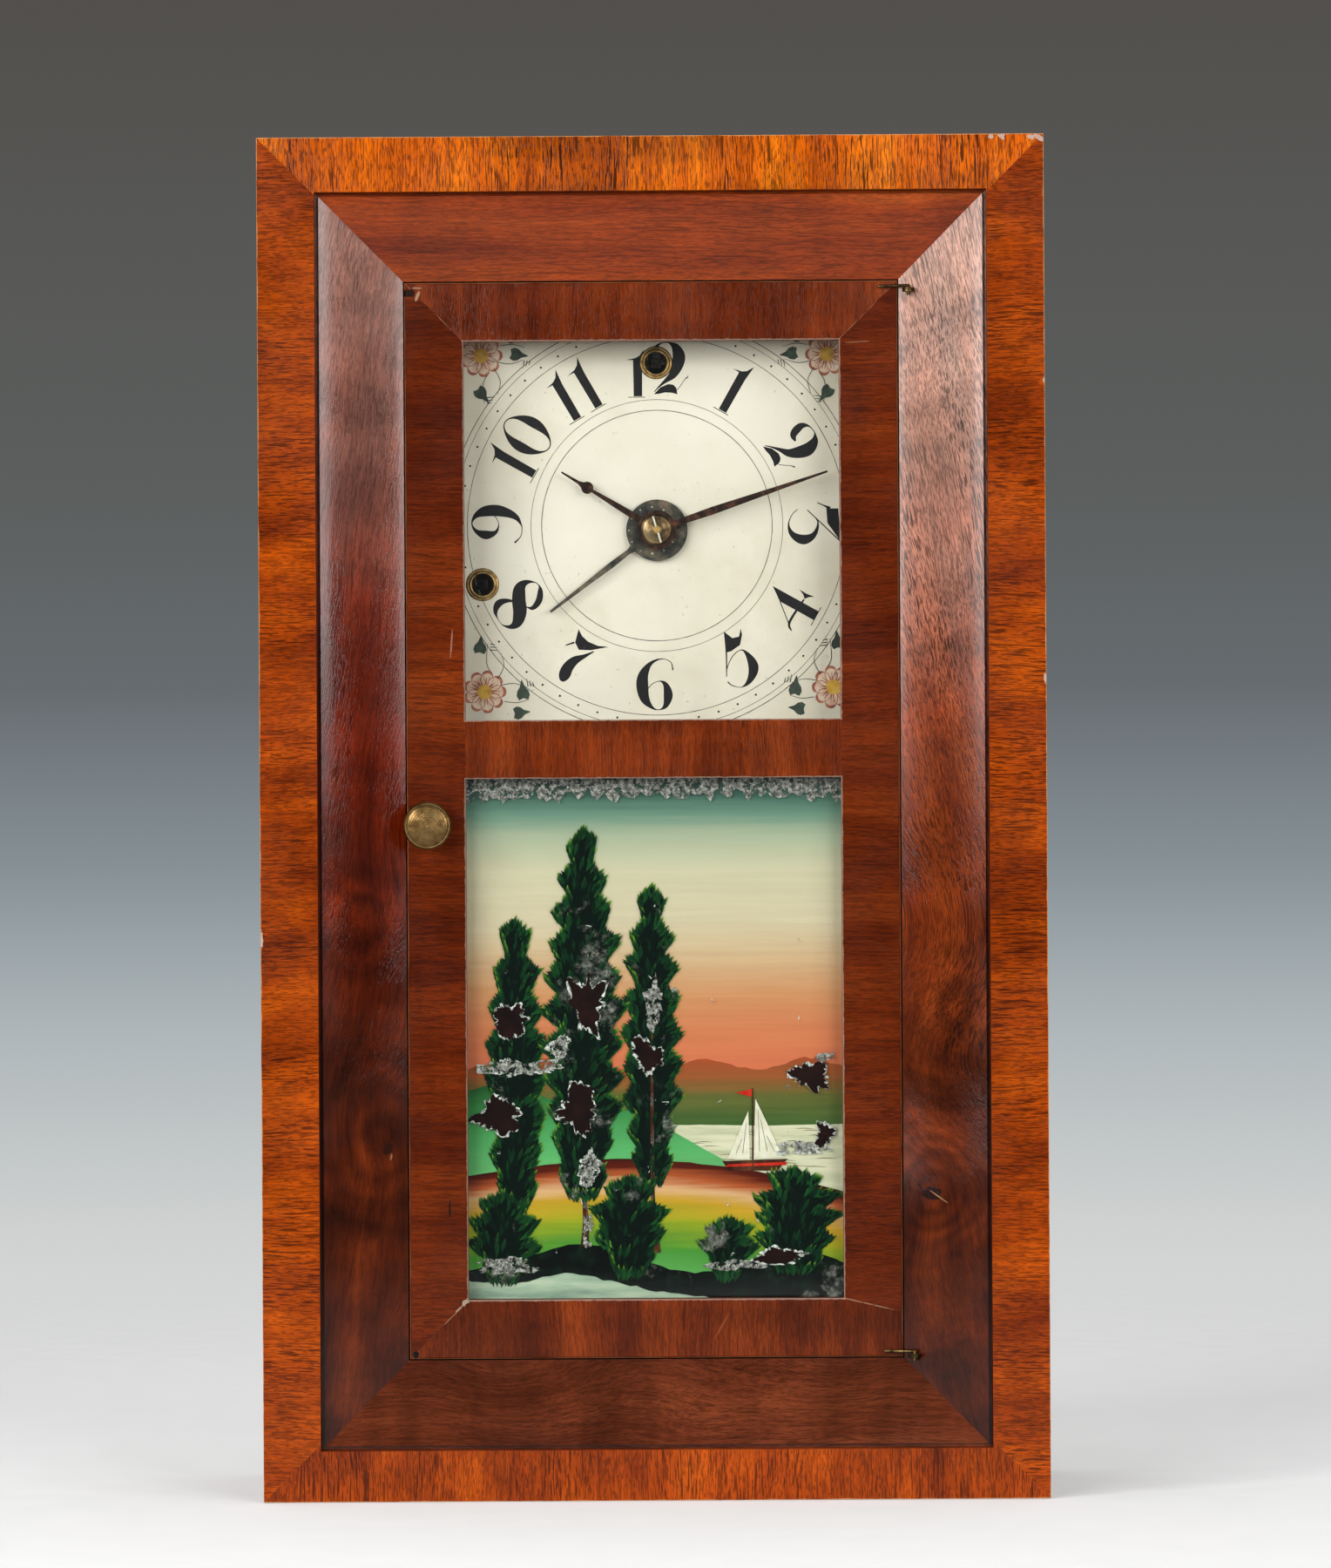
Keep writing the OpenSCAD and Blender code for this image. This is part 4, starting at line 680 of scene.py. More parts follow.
def window_rim(finish, colour, low_z, high_z):
    """Crumbs of putty and bare wood along the edge of a window."""
    here = finish.where()
    middle, half = (low_z + high_z) / 2, (high_z - low_z) / 2
    beside = abs(finish.axis(here, "X")) - window_x
    gap = finish.most(beside, abs(finish.axis(here, "Z") - middle) - half)
    crumbs = finish.noise(420, detail=4, rough=0.75)
    width = gap + crumbs * (2.2 * RUB_W)
    share = finish.range(width, 1.7 * RUB_W, 2.15 * RUB_W, RUB_SHARE, 0.0)
    share = share * finish.near(door_low.y + 2 * RUB_W, RUB_W)
    return finish.over(share, colour, screen(166, 138, 120))


def door_veneer():
    """Stiles and rails in one material, with the marks that use has left on them."""
    finish = Finish("door_veneer")
    here = finish.where()
    x, z = finish.axis(here, "X"), finish.axis(here, "Z")
    wobble = (finish.noise(120, detail=3) - 0.5) * (0.9 * MM)
    sideways = abs(x) - window_x + wobble
    upwards = finish.most(z - window_top, window_foot - z)
    at_foot_right = (x > 0.0) * (z < window_foot)
    slope = finish.range(at_foot_right, 0.0, 1.0, MITRE_SLOPE, FOOT_RIGHT_SLOPE)
    mitre = upwards - sideways * slope
    on_rail = finish.most(mitre > 0.0, sideways < 0.0)
    source = finish.warp(finish.swapped(on_rail), 14, 0.006, detail=2)
    stile, height = veneer_layers(finish, source, "X", STILE, ribbon=0.25, streak=0.5, pore=0.45)
    rail, _ = veneer_layers(finish, source, "X", RAIL, ribbon=0.5, streak=0.4, pore=0.45)
    rail = finish.gain(rail, finish.range(z, window_foot - 2 * MM, window_foot + 2 * MM, 0.86, 1.0))
    colour = finish.over(on_rail, stile, rail)
    seam = finish.range(abs(mitre), 0.1 * MM, 0.28 * MM, 0.55, 0.0) * (sideways > 0.0)
    # Wear alone here: the noise picks where the mitres are rubbed pale.
    wear_and_painted_light = finish.range(finish.noise(160, detail=3), 0.42, 0.6)
    low_down = finish.range(z, window_foot, window_top, 1.0, 0.7)
    colour = finish.over(seam * (wear_and_painted_light * low_down), colour, screen(158, 118, 92))
    colour = rubbed(finish, colour, door_low, door_high, (142, 96, 66))
    for rim in (DIAL_WINDOW, TABLET_WINDOW):
        colour = window_rim(finish, colour, *rim)
    for spot in DOOR_MARKS:
        colour = mark(finish, colour, *spot)
    return varnish(finish, colour, height)


STILE = [(66, 17, 2), (92, 31, 5), (116, 46, 11)]
RAIL = [(70, 20, 3), (100, 36, 7), (132, 54, 15)]
DOOR_MARKS = [(-74.0, 369.4, 1.9, 1.3, 0, (34, 16, 10), 1.6),
              (-71.6, 370.8, 1.5, 0.35, 0, (132, 100, 78), 1.4),
              (-71.6, 368.2, 0.5, 1.6, 20, (150, 116, 92), 1.4),
              (-73.8, 43.8, 1.1, 1.0, 30, (16, 8, 6), 1.4),
              (-61.7, 261.8, 0.3, 4.2, 4, (142, 88, 70)),
              (-63.2, 88, 0.35, 3, 0, (40, 16, 8)),
              (-58.6, 59.6, 1.6, 0.6, -45, (150, 130, 110), 2.6),
              (-60.6, 57.6, 1.8, 0.3, -45, (140, 112, 90), 2.0),
              (20, 52, 0.3, 4.5, 30, (120, 60, 30)),
              (63.2, 353.6, 4.2, 0.14, -3, (132, 88, 62))]
dress(door_veneer(), "door_stile_left", "door_stile_right", "door_rails")
print("door dressed")

# %% [markdown]
# ## Carcass wood
# The case behind the front is plain pine, stained brown outside and left raw inside. Growth rings show as
# broad soft bands, so the recipe is like the veneer's, with wider spacing and no pores.

# %% Pine boards
def pine(name, grain, tones, gloss=0.75):
    """Bands of growth rings, fibres and dirt."""
    finish = Finish(name)
    source = finish.warp(finish.where(), 6, 0.03, detail=2)
    rings = finish.noise(drawn_out(grain, 3, 95), source, detail=3, rough=0.6)
    colour = finish.shade(rings, tones, 0.3, 0.68)
    fibre = finish.noise(drawn_out(grain, 40, 1300), source, detail=2)
    colour = finish.gain(colour, finish.range(fibre, 0.2, 0.8, 0.8, 1.15))
    dirt = finish.noise(22, detail=5, rough=0.65)
    colour = finish.gain(colour, finish.range(dirt, 0.35, 0.7, 0.72, 1.05))
    finish.relief(fibre + rings * 0.6, 0.09 * MM)
    return finish.set(Base_Color=colour, Roughness=finish.range(fibre, 0.2, 0.8, gloss - 0.08,
                                                                gloss + 0.08))


def side_veneer():
    """Plain straight mahogany on the case's sides."""
    finish = Finish("side_veneer")
    source = finish.warp(finish.where(), 5, 0.02, detail=2)
    colour, height = veneer_layers(finish, source, "Z", SIDE_TONES, ribbon=0.25, streak=0.6, pore=0.5)
    return varnish(finish, colour, height, gloss=0.3)


STAINED = [(70, 36, 18), (98, 54, 28), (124, 74, 40)]
RAW = [(128, 86, 50), (166, 120, 74), (190, 148, 98)]
dress(side_veneer(), "side_left", "side_right")
dress(pine("stained_pine_level", "X", STAINED, 0.6), "top_board", "bottom_board")
dress(pine("back_pine", "Z", [(104, 66, 36), (140, 94, 54), (164, 120, 76)]), "back_board")
dress(pine("inner_pine", "X", RAW), "dial_rails", "movement_blocks", "glazing_strips")
print("boards dressed")

# %% [markdown]
# ## Metals
# Old clock brass is never bright all over. It keeps its colour where it is rubbed and turns brown where it
# is not, so its tone and its gloss follow the same patches. Steel hands were blued by heat and have gone
# brown.

# %% Brass, steel and bell metal
LATHE_PITCH = math.tau / 9500


def aged_metal(name, tones, shine, patch):
    """Metal whose tarnish, patch lumps to a metre, is both darker and duller than its clean places."""
    finish = Finish(name, Metallic=1.0)
    tarnish = finish.noise(patch, detail=5, rough=0.65)
    colour = finish.shade(tarnish, tones, 0.32, 0.66)
    fine = finish.noise((900, 900, 3000), detail=2)
    finish.relief(fine + tarnish, 0.02 * MM)
    return finish.set(Base_Color=colour, Roughness=finish.range(tarnish, 0.35, 0.65, shine + 0.18, shine))


def turned_brass(name, node, tones, shine, pin=0.0, bands=None):
    """Brass off the lathe, ringed about its own axis.

    Bands paint rings of highlight and shade out from the middle, and what stands within pin of its front is
    bright steel."""
    low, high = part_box(node)
    centre = (low + high) / 2
    finish = Finish(name, Metallic=1.0)
    moved = finish.take("Mapping", {"Vector": finish.where(), "Location": (-centre.x, 0, -centre.z)})
    radius = finish.off_axis(moved)
    rings = finish.math("SINE", radius * (math.tau / LATHE_PITCH))
    tarnish = finish.noise(230, detail=5, rough=0.7)
    colour = finish.shade(tarnish, tones, 0.34, 0.64)
    if bands:
        share = radius / ((high.x - low.x) / 2)
        # Painted light: each band brightens or darkens a ring, as the turned profile catches or loses the
        # light.
        wear_and_painted_light = finish.ramp(share, [(at, (level, level, level, 1)) for at, level in bands])
        colour = finish.gain(colour, finish.axis(wear_and_painted_light, "X"))
    if pin:
        colour = finish.over(finish.near(low.y + pin, 0.05 * MM), colour, screen(206, 200, 184))
    finish.relief(rings + tarnish * 3.0, 0.012 * MM)
    return finish.set(Base_Color=colour, Roughness=finish.range(tarnish, 0.35, 0.65, shine + 0.15, shine))


# The washer's painted light: a bright ring where its dome catches the light and dark rings in shade.
WASHER_PAINTED_LIGHT = [(0.0, 1.6), (0.24, 1.5), (0.34, 0.5), (0.52, 0.8), (0.74, 0.9), (0.84, 1.7), (0.92, 0.5)]
METALS = [
    ("aged_brass", [(92, 70, 36), (150, 122, 66), (196, 168, 104)], 0.32, 260, "latch_tongue bell_post"),
    ("eyelet_brass", [(86, 66, 36), (146, 118, 72), (190, 162, 108)], 0.34, 420, "winding_grommets"),
    ("tarnished_brass", [(30, 22, 14), (62, 48, 28), (128, 104, 62)], 0.36, 420, "hinge_eyes hinge_wires"),
    ("movement_brass", [(120, 92, 44), (182, 148, 78), (214, 184, 116)], 0.3, 90,
     "time_front_plate time_back_plate time_pillars alarm_plates alarm_pillars suspension_cock "
     "great_wheel second_wheel centre_wheel third_wheel escape_wheel minute_wheel hour_wheel "
     "alarm_wheel pendulum_bob rating_nut"),
    ("dull_steel", [(8, 8, 8), (22, 20, 18), (66, 60, 52)], 0.22, 500, "winding_arbor alarm_arbor"),
    ("arbor_gold", [(150, 118, 60), (206, 172, 104), (236, 210, 150)], 0.2, 90, "centre_arbor"),
    ("steel", [(70, 66, 62), (120, 118, 116), (166, 166, 168)], 0.34, 90,
     "time_click escape_arbor cannon_pinion verge pendulum_rod alarm_hammer alarm_lever "
     "movement_screws dial_pins time_mainspring alarm_mainspring"),
    ("bell_metal", [(84, 70, 50), (136, 116, 82), (178, 158, 118)], 0.26, 90, "bell"),
    ("browned_steel", [(30, 24, 22), (48, 36, 30), (88, 56, 42)], 0.42, 420, "minute_hand hour_hand"),
    ("disc_steel", [(42, 46, 46), (72, 70, 62), (108, 96, 80)], 0.44, 300, "alarm_disc")]
dress(turned_brass("knob_brass", "knob", [(68, 50, 27), (98, 76, 44), (130, 104, 66)], 0.3), "knob")
dress(turned_brass("washer_brass", "hand_washer", [(64, 48, 32), (104, 84, 58), (156, 134, 96)], 0.3,
                   pin=0.8 * MM, bands=WASHER_PAINTED_LIGHT), "hand_washer")
for name, tones, shine, patch, solids in METALS:
    dress(aged_metal(name, tones, shine, patch), *solids.split())
print("metals dressed")

# %% [markdown]
# ## Dial and glass
# The dial is a zinc sheet under cream paint. Its paint has a faint craze and a little dirt. The panes are
# thin glass: a see-through shader with a mirror laid over it by Fresnel's law, which also carries over to
# other programs, where real refraction in so thin a pane would only cost time.

# %% Cream paint and window glass
GLASS_TINT = (0.98, 0.985, 0.98, 1)
HEAD_ON_MIRROR, GRAZING_MIRROR = 0.035, 0.9


def dial_paint():
    """Cream paint with clouds, a tan that grows towards the corners, specks and a faint craze."""
    finish = Finish("dial_paint")
    dial_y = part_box("dial_plate")[0].y
    clouds = finish.noise(26, detail=5, rough=0.6)
    colour = finish.shade(clouds, [(216, 208, 184), (229, 223, 203), (234, 229, 212)], 0.3, 0.7)
    corners = finish.range(finish.gap_to((0, dial_y, HUB_Z)), 52 * MM, 84 * MM, 0.0, 0.3)
    colour = finish.over(corners, colour, screen(196, 182, 148))
    specks = finish.range(finish.noise(900, detail=2), 0.7, 0.76)
    colour = finish.over(specks * 0.5, colour, screen(150, 128, 96))
    lines = finish.range(finish.cracks(230), 0.0, 0.05, 1.0, 0.0)
    colour = finish.over(lines * 0.06, colour, screen(140, 126, 104))
    finish.relief(clouds - lines * 0.2, 0.05 * MM)
    return finish.set(Base_Color=colour, Roughness=finish.range(clouds, 0.3, 0.7, 0.5, 0.62))


def pane_glass(name):
    """A clear pane with a faint, slightly wavy mirror over it."""
    finish = Finish(name)
    clear = finish.take("BsdfTransparent", {"Color": GLASS_TINT})
    wave = finish.take("Bump", {"Height": finish.noise(14, detail=1), "Strength": 0.5,
                                "Distance": 0.3 * MM})
    mirror = finish.take("BsdfGlossy", {"Color": (1, 1, 1, 1), "Roughness": 0.02, "Normal": wave})
    facing = finish.take("LayerWeight", {"Blend": 0.5}, "Facing")
    return finish.surface(facing ** 5.0 * GRAZING_MIRROR + HEAD_ON_MIRROR, clear, mirror)


dress(dial_paint(), "dial_plate")
for pane in ("dial_glass", "tablet_glass"):
    dress(pane_glass(pane), pane)
print("dial and glass dressed")

# %% [markdown]
# ## Flat painted pieces
# The figures and the picture are paint, a few hundredths of a millimetre thick. Each is modelled as a thin
# sheet that lies just in front of what it is painted on. A sheet is built from outlines and from brush
# strokes: a stroke is a path with a width at each point, smoothed by the curve that passes through every
# point it is given.

# %% Strokes and sheets
def through(points, steps=8, closed=False):
    """A smooth path through the points, each a tuple of any length."""
    count = len(points)
    path = []
    for i in range(count if closed else count - 1):
        if closed:
            four = [points[(i + k) % count] for k in (-1, 0, 1, 2)]
        else:
            four = [points[min(max(i + k, 0), count - 1)] for k in (-1, 0, 1, 2)]
        for step in range(steps):
            t = step / steps
            path.append(tuple(
                0.5 * (2 * b + (c - a) * t + (2 * a - 5 * b + 4 * c - d) * t * t
                       + (3 * b - a - 3 * c + d) * t ** 3)
                for a, b, c, d in zip(*four)))
    return path if closed else path + [tuple(points[-1])]


def brushed(points, steps=8, closed=False):
    """Outlines of a stroke: one four-sided piece for each step along a path of (x, z, width)."""
    path = through(points, steps, closed)
    if closed:
        path.append(path[0])
    sides = []
    for i, (x, z, width) in enumerate(path):
        before = path[max(i - 1, 0)] if not closed else path[(i - 1) % (len(path) - 1)]
        after = path[min(i + 1, len(path) - 1)] if not closed else path[(i + 1) % (len(path) - 1)]
        dx, dz = after[0] - before[0], after[1] - before[1]
        size = math.hypot(dx, dz) or 1.0
        nx, nz = -dz / size * width / 2, dx / size * width / 2
        sides.append(((x + nx, z + nz), (x - nx, z - nz)))
    return [[a[0], a[1], b[1], b[0]] for a, b in zip(sides, sides[1:])]


STAGGER, STAGGER_TURNS = 0.0004 * MM, 29


def sheet_piece(name, outlines, depth, material, body):
    """A flat piece from outlines in millimetres, facing the viewer. Neighbours lie a hair apart in depth."""
    corners, faces = [], []
    for i, outline in enumerate(outlines):
        level = depth + i % STAGGER_TURNS * STAGGER
        area = sum(a[0] * b[1] - b[0] * a[1] for a, b in zip(outline, outline[1:] + outline[:1]))
        loop = outline if area > 0 else outline[::-1]
        faces.append(list(range(len(corners), len(corners) + len(loop))))
        corners += [(x * MM, level, z * MM) for x, z in loop]
    mesh = bpy.data.meshes.new(name)
    mesh.from_pydata(corners, [], faces)
    mesh.materials.append(material)
    return new_piece(name, mesh, body)


print("stroke helpers ready")

# %% [markdown]
# ## The figures
# Nineteenth-century dial figures are fat in the stem and end in hairlines. Each figure below is drawn
# upright about its own foot, then set on the ring. From nine to three they stand with their heads outwards,
# and from four to eight with their heads inwards, so that none is upside down.

# %% Twelve hours of black paint
RING_X, RING_Z = 1.5, 298.4
FOOT_OUT, FOOT_IN = 41.2, 57.1

FIGURES = {
    "1": ([[(-1.25, -0.3), (1.35, -0.3), (1.4, 11.5), (1.9, 16.4), (0.6, 14.2), (-0.8, 13.3), (-3.6, 12.7),
            (-1.4, 12.6)]], [[(-3, -0.6, 0.25), (2.3, -0.6, 0.25)]]),
    "2": ([[(-4.6, -0.5), (-3, -0.4), (-1.2, 0), (1, -0.1), (2.7, -0.6), (2.3, 1.5), (1.4, 2.4),
            (-0.2, 2.6), (-2.6, 1.6)]],
          [[(-0.9, 9, 0.5), (-2.8, 9.4, 2), (-3.8, 11.2, 2.4), (-4, 13.3, 1.8), (-2.8, 15, 0.5),
            (-0.6, 15.5, 0.3), (0.6, 15.2, 0.8), (2.2, 13.9, 2.6), (3.2, 11.2, 3.9), (2.6, 8.2, 3.6),
            (1.2, 5.4, 2.4), (-1.2, 3.4, 1.1), (-3.4, 1.4, 0.4), (-4.4, 0.2, 0.3)],
           [(2.4, 0.6, 0.2), (3.6, 2, 0.2), (5, 4, 0.2), (6, 4.8, 0.5)]]),
    "3": ([[(-5, 11.3), (-0.5, 11.6), (5, 15.5), (-0.5, 15.3), (-5, 15)]],
          [[(-6.8, 8.5, 0.3), (-5.9, 10.6, 0.4), (-5, 12.4, 1.2)], [(5, 15.4, 0.4), (-4.6, 5.4, 0.3)],
           [(-4.6, 5.4, 0.25), (-1, 8.6, 0.4), (3, 7.5, 1.6), (4.6, 4.2, 3), (3, 0.8, 1.8), (0, -0.4, 0.5),
            (-3, 0.6, 0.25), (-4.8, 2.4, 0.25)]]),
    "4": ([[(-1.4, 0.4), (1.7, 0.5), (1.5, 16.7), (-1.55, 12.4)],
           [(2.9, 6.1), (4.1, 5.2), (5, 3.7), (4.6, 6.4), (4.7, 9.1), (3.9, 7.2)]],
          [[(-1.5, 12.4, 0.3), (-7.7, 4.7, 0.3)], [(-7.7, 4.7, 0.3), (-5.6, 6.6, 0.8), (2.7, 6.2, 0.5)],
           [(3.2, 0.4, 0.25), (-3.3, 0.3, 0.25)]]),
    "5": ([[(1.4, 18.1), (-1.3, 12.3), (0.2, 11.9), (3.6, 12.2), (5.7, 14.6), (6.3, 16.5), (4.6, 14.6),
            (2.6, 15.2)]],
          [[(1.4, 18, 0.45), (-1.3, 12.3, 0.45), (-5, 5.8, 0.3)],
           [(-4.9, 6, 0.25), (-3.2, 8.3, 0.25), (0.3, 10.5, 0.3), (3.6, 10.2, 0.5), (3.9, 4.7, 3.1),
            (1.1, 1.5, 2), (-2.4, 0.6, 0.3), (-4.8, 2.5, 0.3), (-5.5, 4.3, 0.4)]]),
    "6": ([], [[(4.7, 12.3, 0.45), (4, 14.8, 0.25), (1.2, 15.8, 0.3), (-2.2, 14.4, 1.2), (-4.4, 11, 3),
                (-4.8, 7.5, 3.7), (-4, 3.4, 2.8), (-1.6, 0.6, 0.8), (0.6, 0.1, 0.3), (2.4, 1.4, 1.6),
                (3.2, 4.6, 2.8), (2.4, 7.8, 1.6), (0.6, 8.9, 0.3), (-1.8, 8, 0.25), (-3.4, 6, 0.25)]]),
    "7": ([[(-5.2, 17.2), (-4.1, 13.1), (-2, 11.7), (1.3, 13.4), (5.6, 17), (2.6, 15.7), (-0.7, 15.3),
            (-3.2, 15.9)]],
          [[(-4.3, 13, 0.6), (-6.2, 10.9, 0.3)],
           [(2.4, 13.6, 0.3), (0.5, 10.8, 1.2), (-1.4, 8.2, 2.6), (-2.2, 5.4, 3.4), (-2, 2.8, 3.6),
            (-1.9, 1.2, 2.2), (-1.9, 0.6, 0.8)]]),
    "9": ([], [[(-5.1, 2.9, 0.6), (-3.1, 1, 0.25), (-0.6, 0.6, 0.3), (0.6, 0.9, 0.5), (2.6, 2.2, 1.6),
                (4, 4.6, 2.6), (4.9, 8.2, 3.5), (4.7, 12, 3.2), (3.4, 14.8, 1.6), (1, 16.1, 0.4),
                (-1.4, 14.8, 1.2), (-2.6, 11.8, 2.7), (-1.8, 8.8, 1.2), (0.4, 7.8, 0.3), (2.4, 8.4, 0.25),
                (3.6, 9.4, 0.25)]]),
}
EIGHT = [(-4.2, 15.3, 0.4), (-5.3, 13, 1.8), (-4.6, 10.6, 3.6), (-1.8, 8.6, 4.2), (1.6, 7, 4.2),
         (4, 4.6, 3.2), (4.2, 2.2, 1.4), (2.4, 0.3, 0.3), (-0.2, 0, 0.3), (-2.4, 0.6, 1.4),
         (-3.9, 2.6, 2.2), (-3.4, 5.2, 1.3), (-1.6, 7.4, 0.4), (1.5, 9.6, 0.4), (2.6, 11.2, 1.4),
         (1.6, 13.8, 2), (-0.6, 15.6, 1.6), (-2.4, 16.2, 0.4)]
NOUGHT_MIDDLE, NOUGHT_HALF_W, NOUGHT_HALF_H, NOUGHT_STEM = 7.6, 4.25, 7.9, 2.7


def figure_outlines(figure):
    """A figure's outlines, upright about its own foot."""
    if figure == "8":
        return brushed(EIGHT, closed=True)
    if figure == "0":
        turns = [math.tau * i / 32 for i in range(32)]
        return brushed([(NOUGHT_HALF_W * math.cos(t), NOUGHT_MIDDLE + NOUGHT_HALF_H * math.sin(t),
                         0.35 + NOUGHT_STEM * math.cos(t) ** 4) for t in turns], steps=2, closed=True)
    outlines, strokes = FIGURES[figure]
    return list(outlines) + [piece for stroke in strokes for piece in brushed(stroke)]


def on_ring(outlines, hour, shift=0.0, drop=0.0, squat=1.0):
    """Outlines moved to their hour on the ring, heads outwards or inwards.

    Drop lowers a figure towards the middle, and squat is its share of the usual height."""
    inwards = 4 <= hour <= 8
    angle = math.tau * hour / 12
    out = (math.sin(angle), math.cos(angle))
    right = (out[1], -out[0])
    placed = []
    for outline in outlines:
        moved = []
        for x, up in outline:
            reach = FOOT_IN - up if inwards else FOOT_OUT + drop + up * squat
            side = -(x + shift) if inwards else x + shift
            moved.append((RING_X + out[0] * reach + right[0] * side,
                          RING_Z + out[1] * reach + right[1] * side))
        placed.append(moved)
    return placed


HOURS = {1: [("1", 0)], 2: [("2", 0)], 3: [("3", 0)], 4: [("4", 0)], 5: [("5", 0)], 6: [("6", 0)],
         7: [("7", 0)], 8: [("8", 0)], 9: [("9", 0)], 10: [("1", -5.0), ("0", 4.5)],
         11: [("1", -4.6), ("1", 3.1)], 12: [("1", -5.7), ("2", 3.9)]}
SHORT_ONE = (-0.9, 0.87)
dial_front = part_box("dial_plate")[0].y
FILM = 0.03 * MM
figures = []
for hour, pair in HOURS.items():
    for figure, shift in pair:
        short = hour == 12 and figure == "1"
        drop, squat = SHORT_ONE if short else (0.0, 1.0)
        figures += on_ring(figure_outlines(figure), hour, shift, drop, squat)


def black_paint():
    """Black that has rubbed thin to grey in fine spots."""
    finish = Finish("black_paint", Specular_IOR_Level=0.2)
    thin = finish.noise(520, detail=4, rough=0.7)
    colour = finish.ramp(thin, [(0.35, screen(7, 7, 7)), (0.64, screen(16, 15, 14)),
                                (0.76, screen(90, 84, 70))])
    return finish.set(Base_Color=colour, Roughness=finish.range(thin, 0.3, 0.7, 0.42, 0.6))


ink = black_paint()
sheet_piece("dial_figures", figures, dial_front - FILM, ink, "case")
print(f"{len(figures)} strokes of black paint in {len(HOURS)} hours")

# %% [markdown]
# ## Rings and minute dots
# What repeats round a circle is left to Geometry Nodes: a circle swept with a flat strip for each ring, and
# a dot instanced on each of sixty points. The trees are built here, with named inputs, and end by making
# the instances real. The result is then taken as a plain mesh, which any other program can read.

# %% Trees for rings and dots
def grown(tree, name, values, body, start=None):
    """Runs a tree on an empty mesh, or on one to start from, and keeps the result as a plain piece."""
    carrier = bpy.data.objects.new(name + "_carrier", start or bpy.data.meshes.new(name + "_carrier"))
    bpy.context.scene.collection.objects.link(carrier)
    modifier = carrier.modifiers.new("grow", "NODES")
    modifier.node_group = tree
    for item in tree.interface.items_tree:
        if item.in_out == "INPUT" and item.name in values:
            modifier[item.identifier] = values[item.name]
    graph = bpy.context.evaluated_depsgraph_get()
    mesh = bpy.data.meshes.new_from_object(carrier.evaluated_get(graph), depsgraph=graph)
    bpy.data.objects.remove(carrier)
    mesh.name = name
    return new_piece(name, mesh, body)


def new_tree(name, inputs):
    """A geometry tree with its output and its named inputs: name, kind and first value."""
    tree = bpy.data.node_groups.new(name, "GeometryNodeTree")
    tree.interface.new_socket("Geometry", in_out="OUTPUT", socket_type="NodeSocketGeometry")
    for label, kind, value in inputs:
        socket = tree.interface.new_socket(label, in_out="INPUT", socket_type="NodeSocket" + kind)
        if value is not None:
            socket.default_value = value
    return tree, tree.nodes.new("NodeGroupInput"), tree.nodes.new("NodeGroupOutput")


def step(tree, kind, inputs=None, **settings):
    """Adds one node to a tree, with values or links for its inputs."""
    node = tree.nodes.new(kind)
    for label, value in settings.items():
        setattr(node, label, value)
    for key, value in (inputs or {}).items():
        if isinstance(value, bpy.types.NodeSocket):
            tree.links.new(value, node.inputs[key])
        else:
            node.inputs[key].default_value = value
    return node


def stand_up(tree, geometry, centre):
    """Turns what was drawn on the ground to face the viewer, about a centre."""
    return step(tree, "GeometryNodeTransform", {"Geometry": geometry, "Translation": centre,
                                                "Rotation": (math.pi / 2, 0, 0)}).outputs[0]


def finish_tree(tree, outside, geometry, material):
    """Makes the instances real, paints them and sends them out of the tree."""
    real = step(tree, "GeometryNodeRealizeInstances", {"Geometry": geometry})
    painted = step(tree, "GeometryNodeSetMaterial", {"Geometry": real.outputs[0], "Material": material})
    tree.links.new(painted.outputs[0], outside.inputs[0])
    return tree


def ring_tree():
    """A circle swept with a flat strip."""
    tree, given, outside = new_tree("ring", [("Radius", "Float", 0.06), ("Width", "Float", 0.0001),
                                             ("Centre", "Vector", None), ("Paint", "Material", None)])
    circle = step(tree, "GeometryNodeCurvePrimitiveCircle", {"Resolution": 180,
                                                             "Radius": given.outputs["Radius"]})
    half = step(tree, "ShaderNodeMath", {0: given.outputs["Width"], 1: 0.5}, operation="MULTIPLY")
    minus = step(tree, "ShaderNodeMath", {0: half.outputs[0], 1: -1.0}, operation="MULTIPLY")
    start = step(tree, "ShaderNodeCombineXYZ", {0: minus.outputs[0]})
    end = step(tree, "ShaderNodeCombineXYZ", {0: half.outputs[0]})
    strip = step(tree, "GeometryNodeCurvePrimitiveLine", {"Start": start.outputs[0], "End": end.outputs[0]})
    swept = step(tree, "GeometryNodeCurveToMesh", {"Curve": circle.outputs[0],
                                                   "Profile Curve": strip.outputs[0]})
    return finish_tree(tree, outside, stand_up(tree, swept.outputs[0], given.outputs["Centre"]),
                       given.outputs["Paint"])


def dot_tree():
    """Round dots on the points of a circle."""
    tree, given, outside = new_tree("dots", [("Count", "Int", 60), ("Radius", "Float", 0.059),
                                             ("Size", "Float", 0.0002), ("Centre", "Vector", None),
                                             ("Paint", "Material", None)])
    places = step(tree, "GeometryNodeMeshCircle", {"Vertices": given.outputs["Count"],
                                                   "Radius": given.outputs["Radius"]})
    dot = step(tree, "GeometryNodeMeshCircle", {"Vertices": 10, "Radius": given.outputs["Size"]},
               fill_type="NGON")
    dots = step(tree, "GeometryNodeInstanceOnPoints", {"Points": places.outputs[0],
                                                       "Instance": dot.outputs[0]})
    return finish_tree(tree, outside, stand_up(tree, dots.outputs[0], given.outputs["Centre"]),
                       given.outputs["Paint"])


ring, dots = ring_tree(), dot_tree()
ring_centre = (RING_X * MM, dial_front - FILM, RING_Z * MM)
RINGS = {"inner_ring": (35.7, 0.24), "chapter_ring": (39.0, 0.17), "minute_ring_in": (58.7, 0.22),
         "minute_ring_out": (62.7, 0.17), "outer_ring": (64.4, 0.26)}


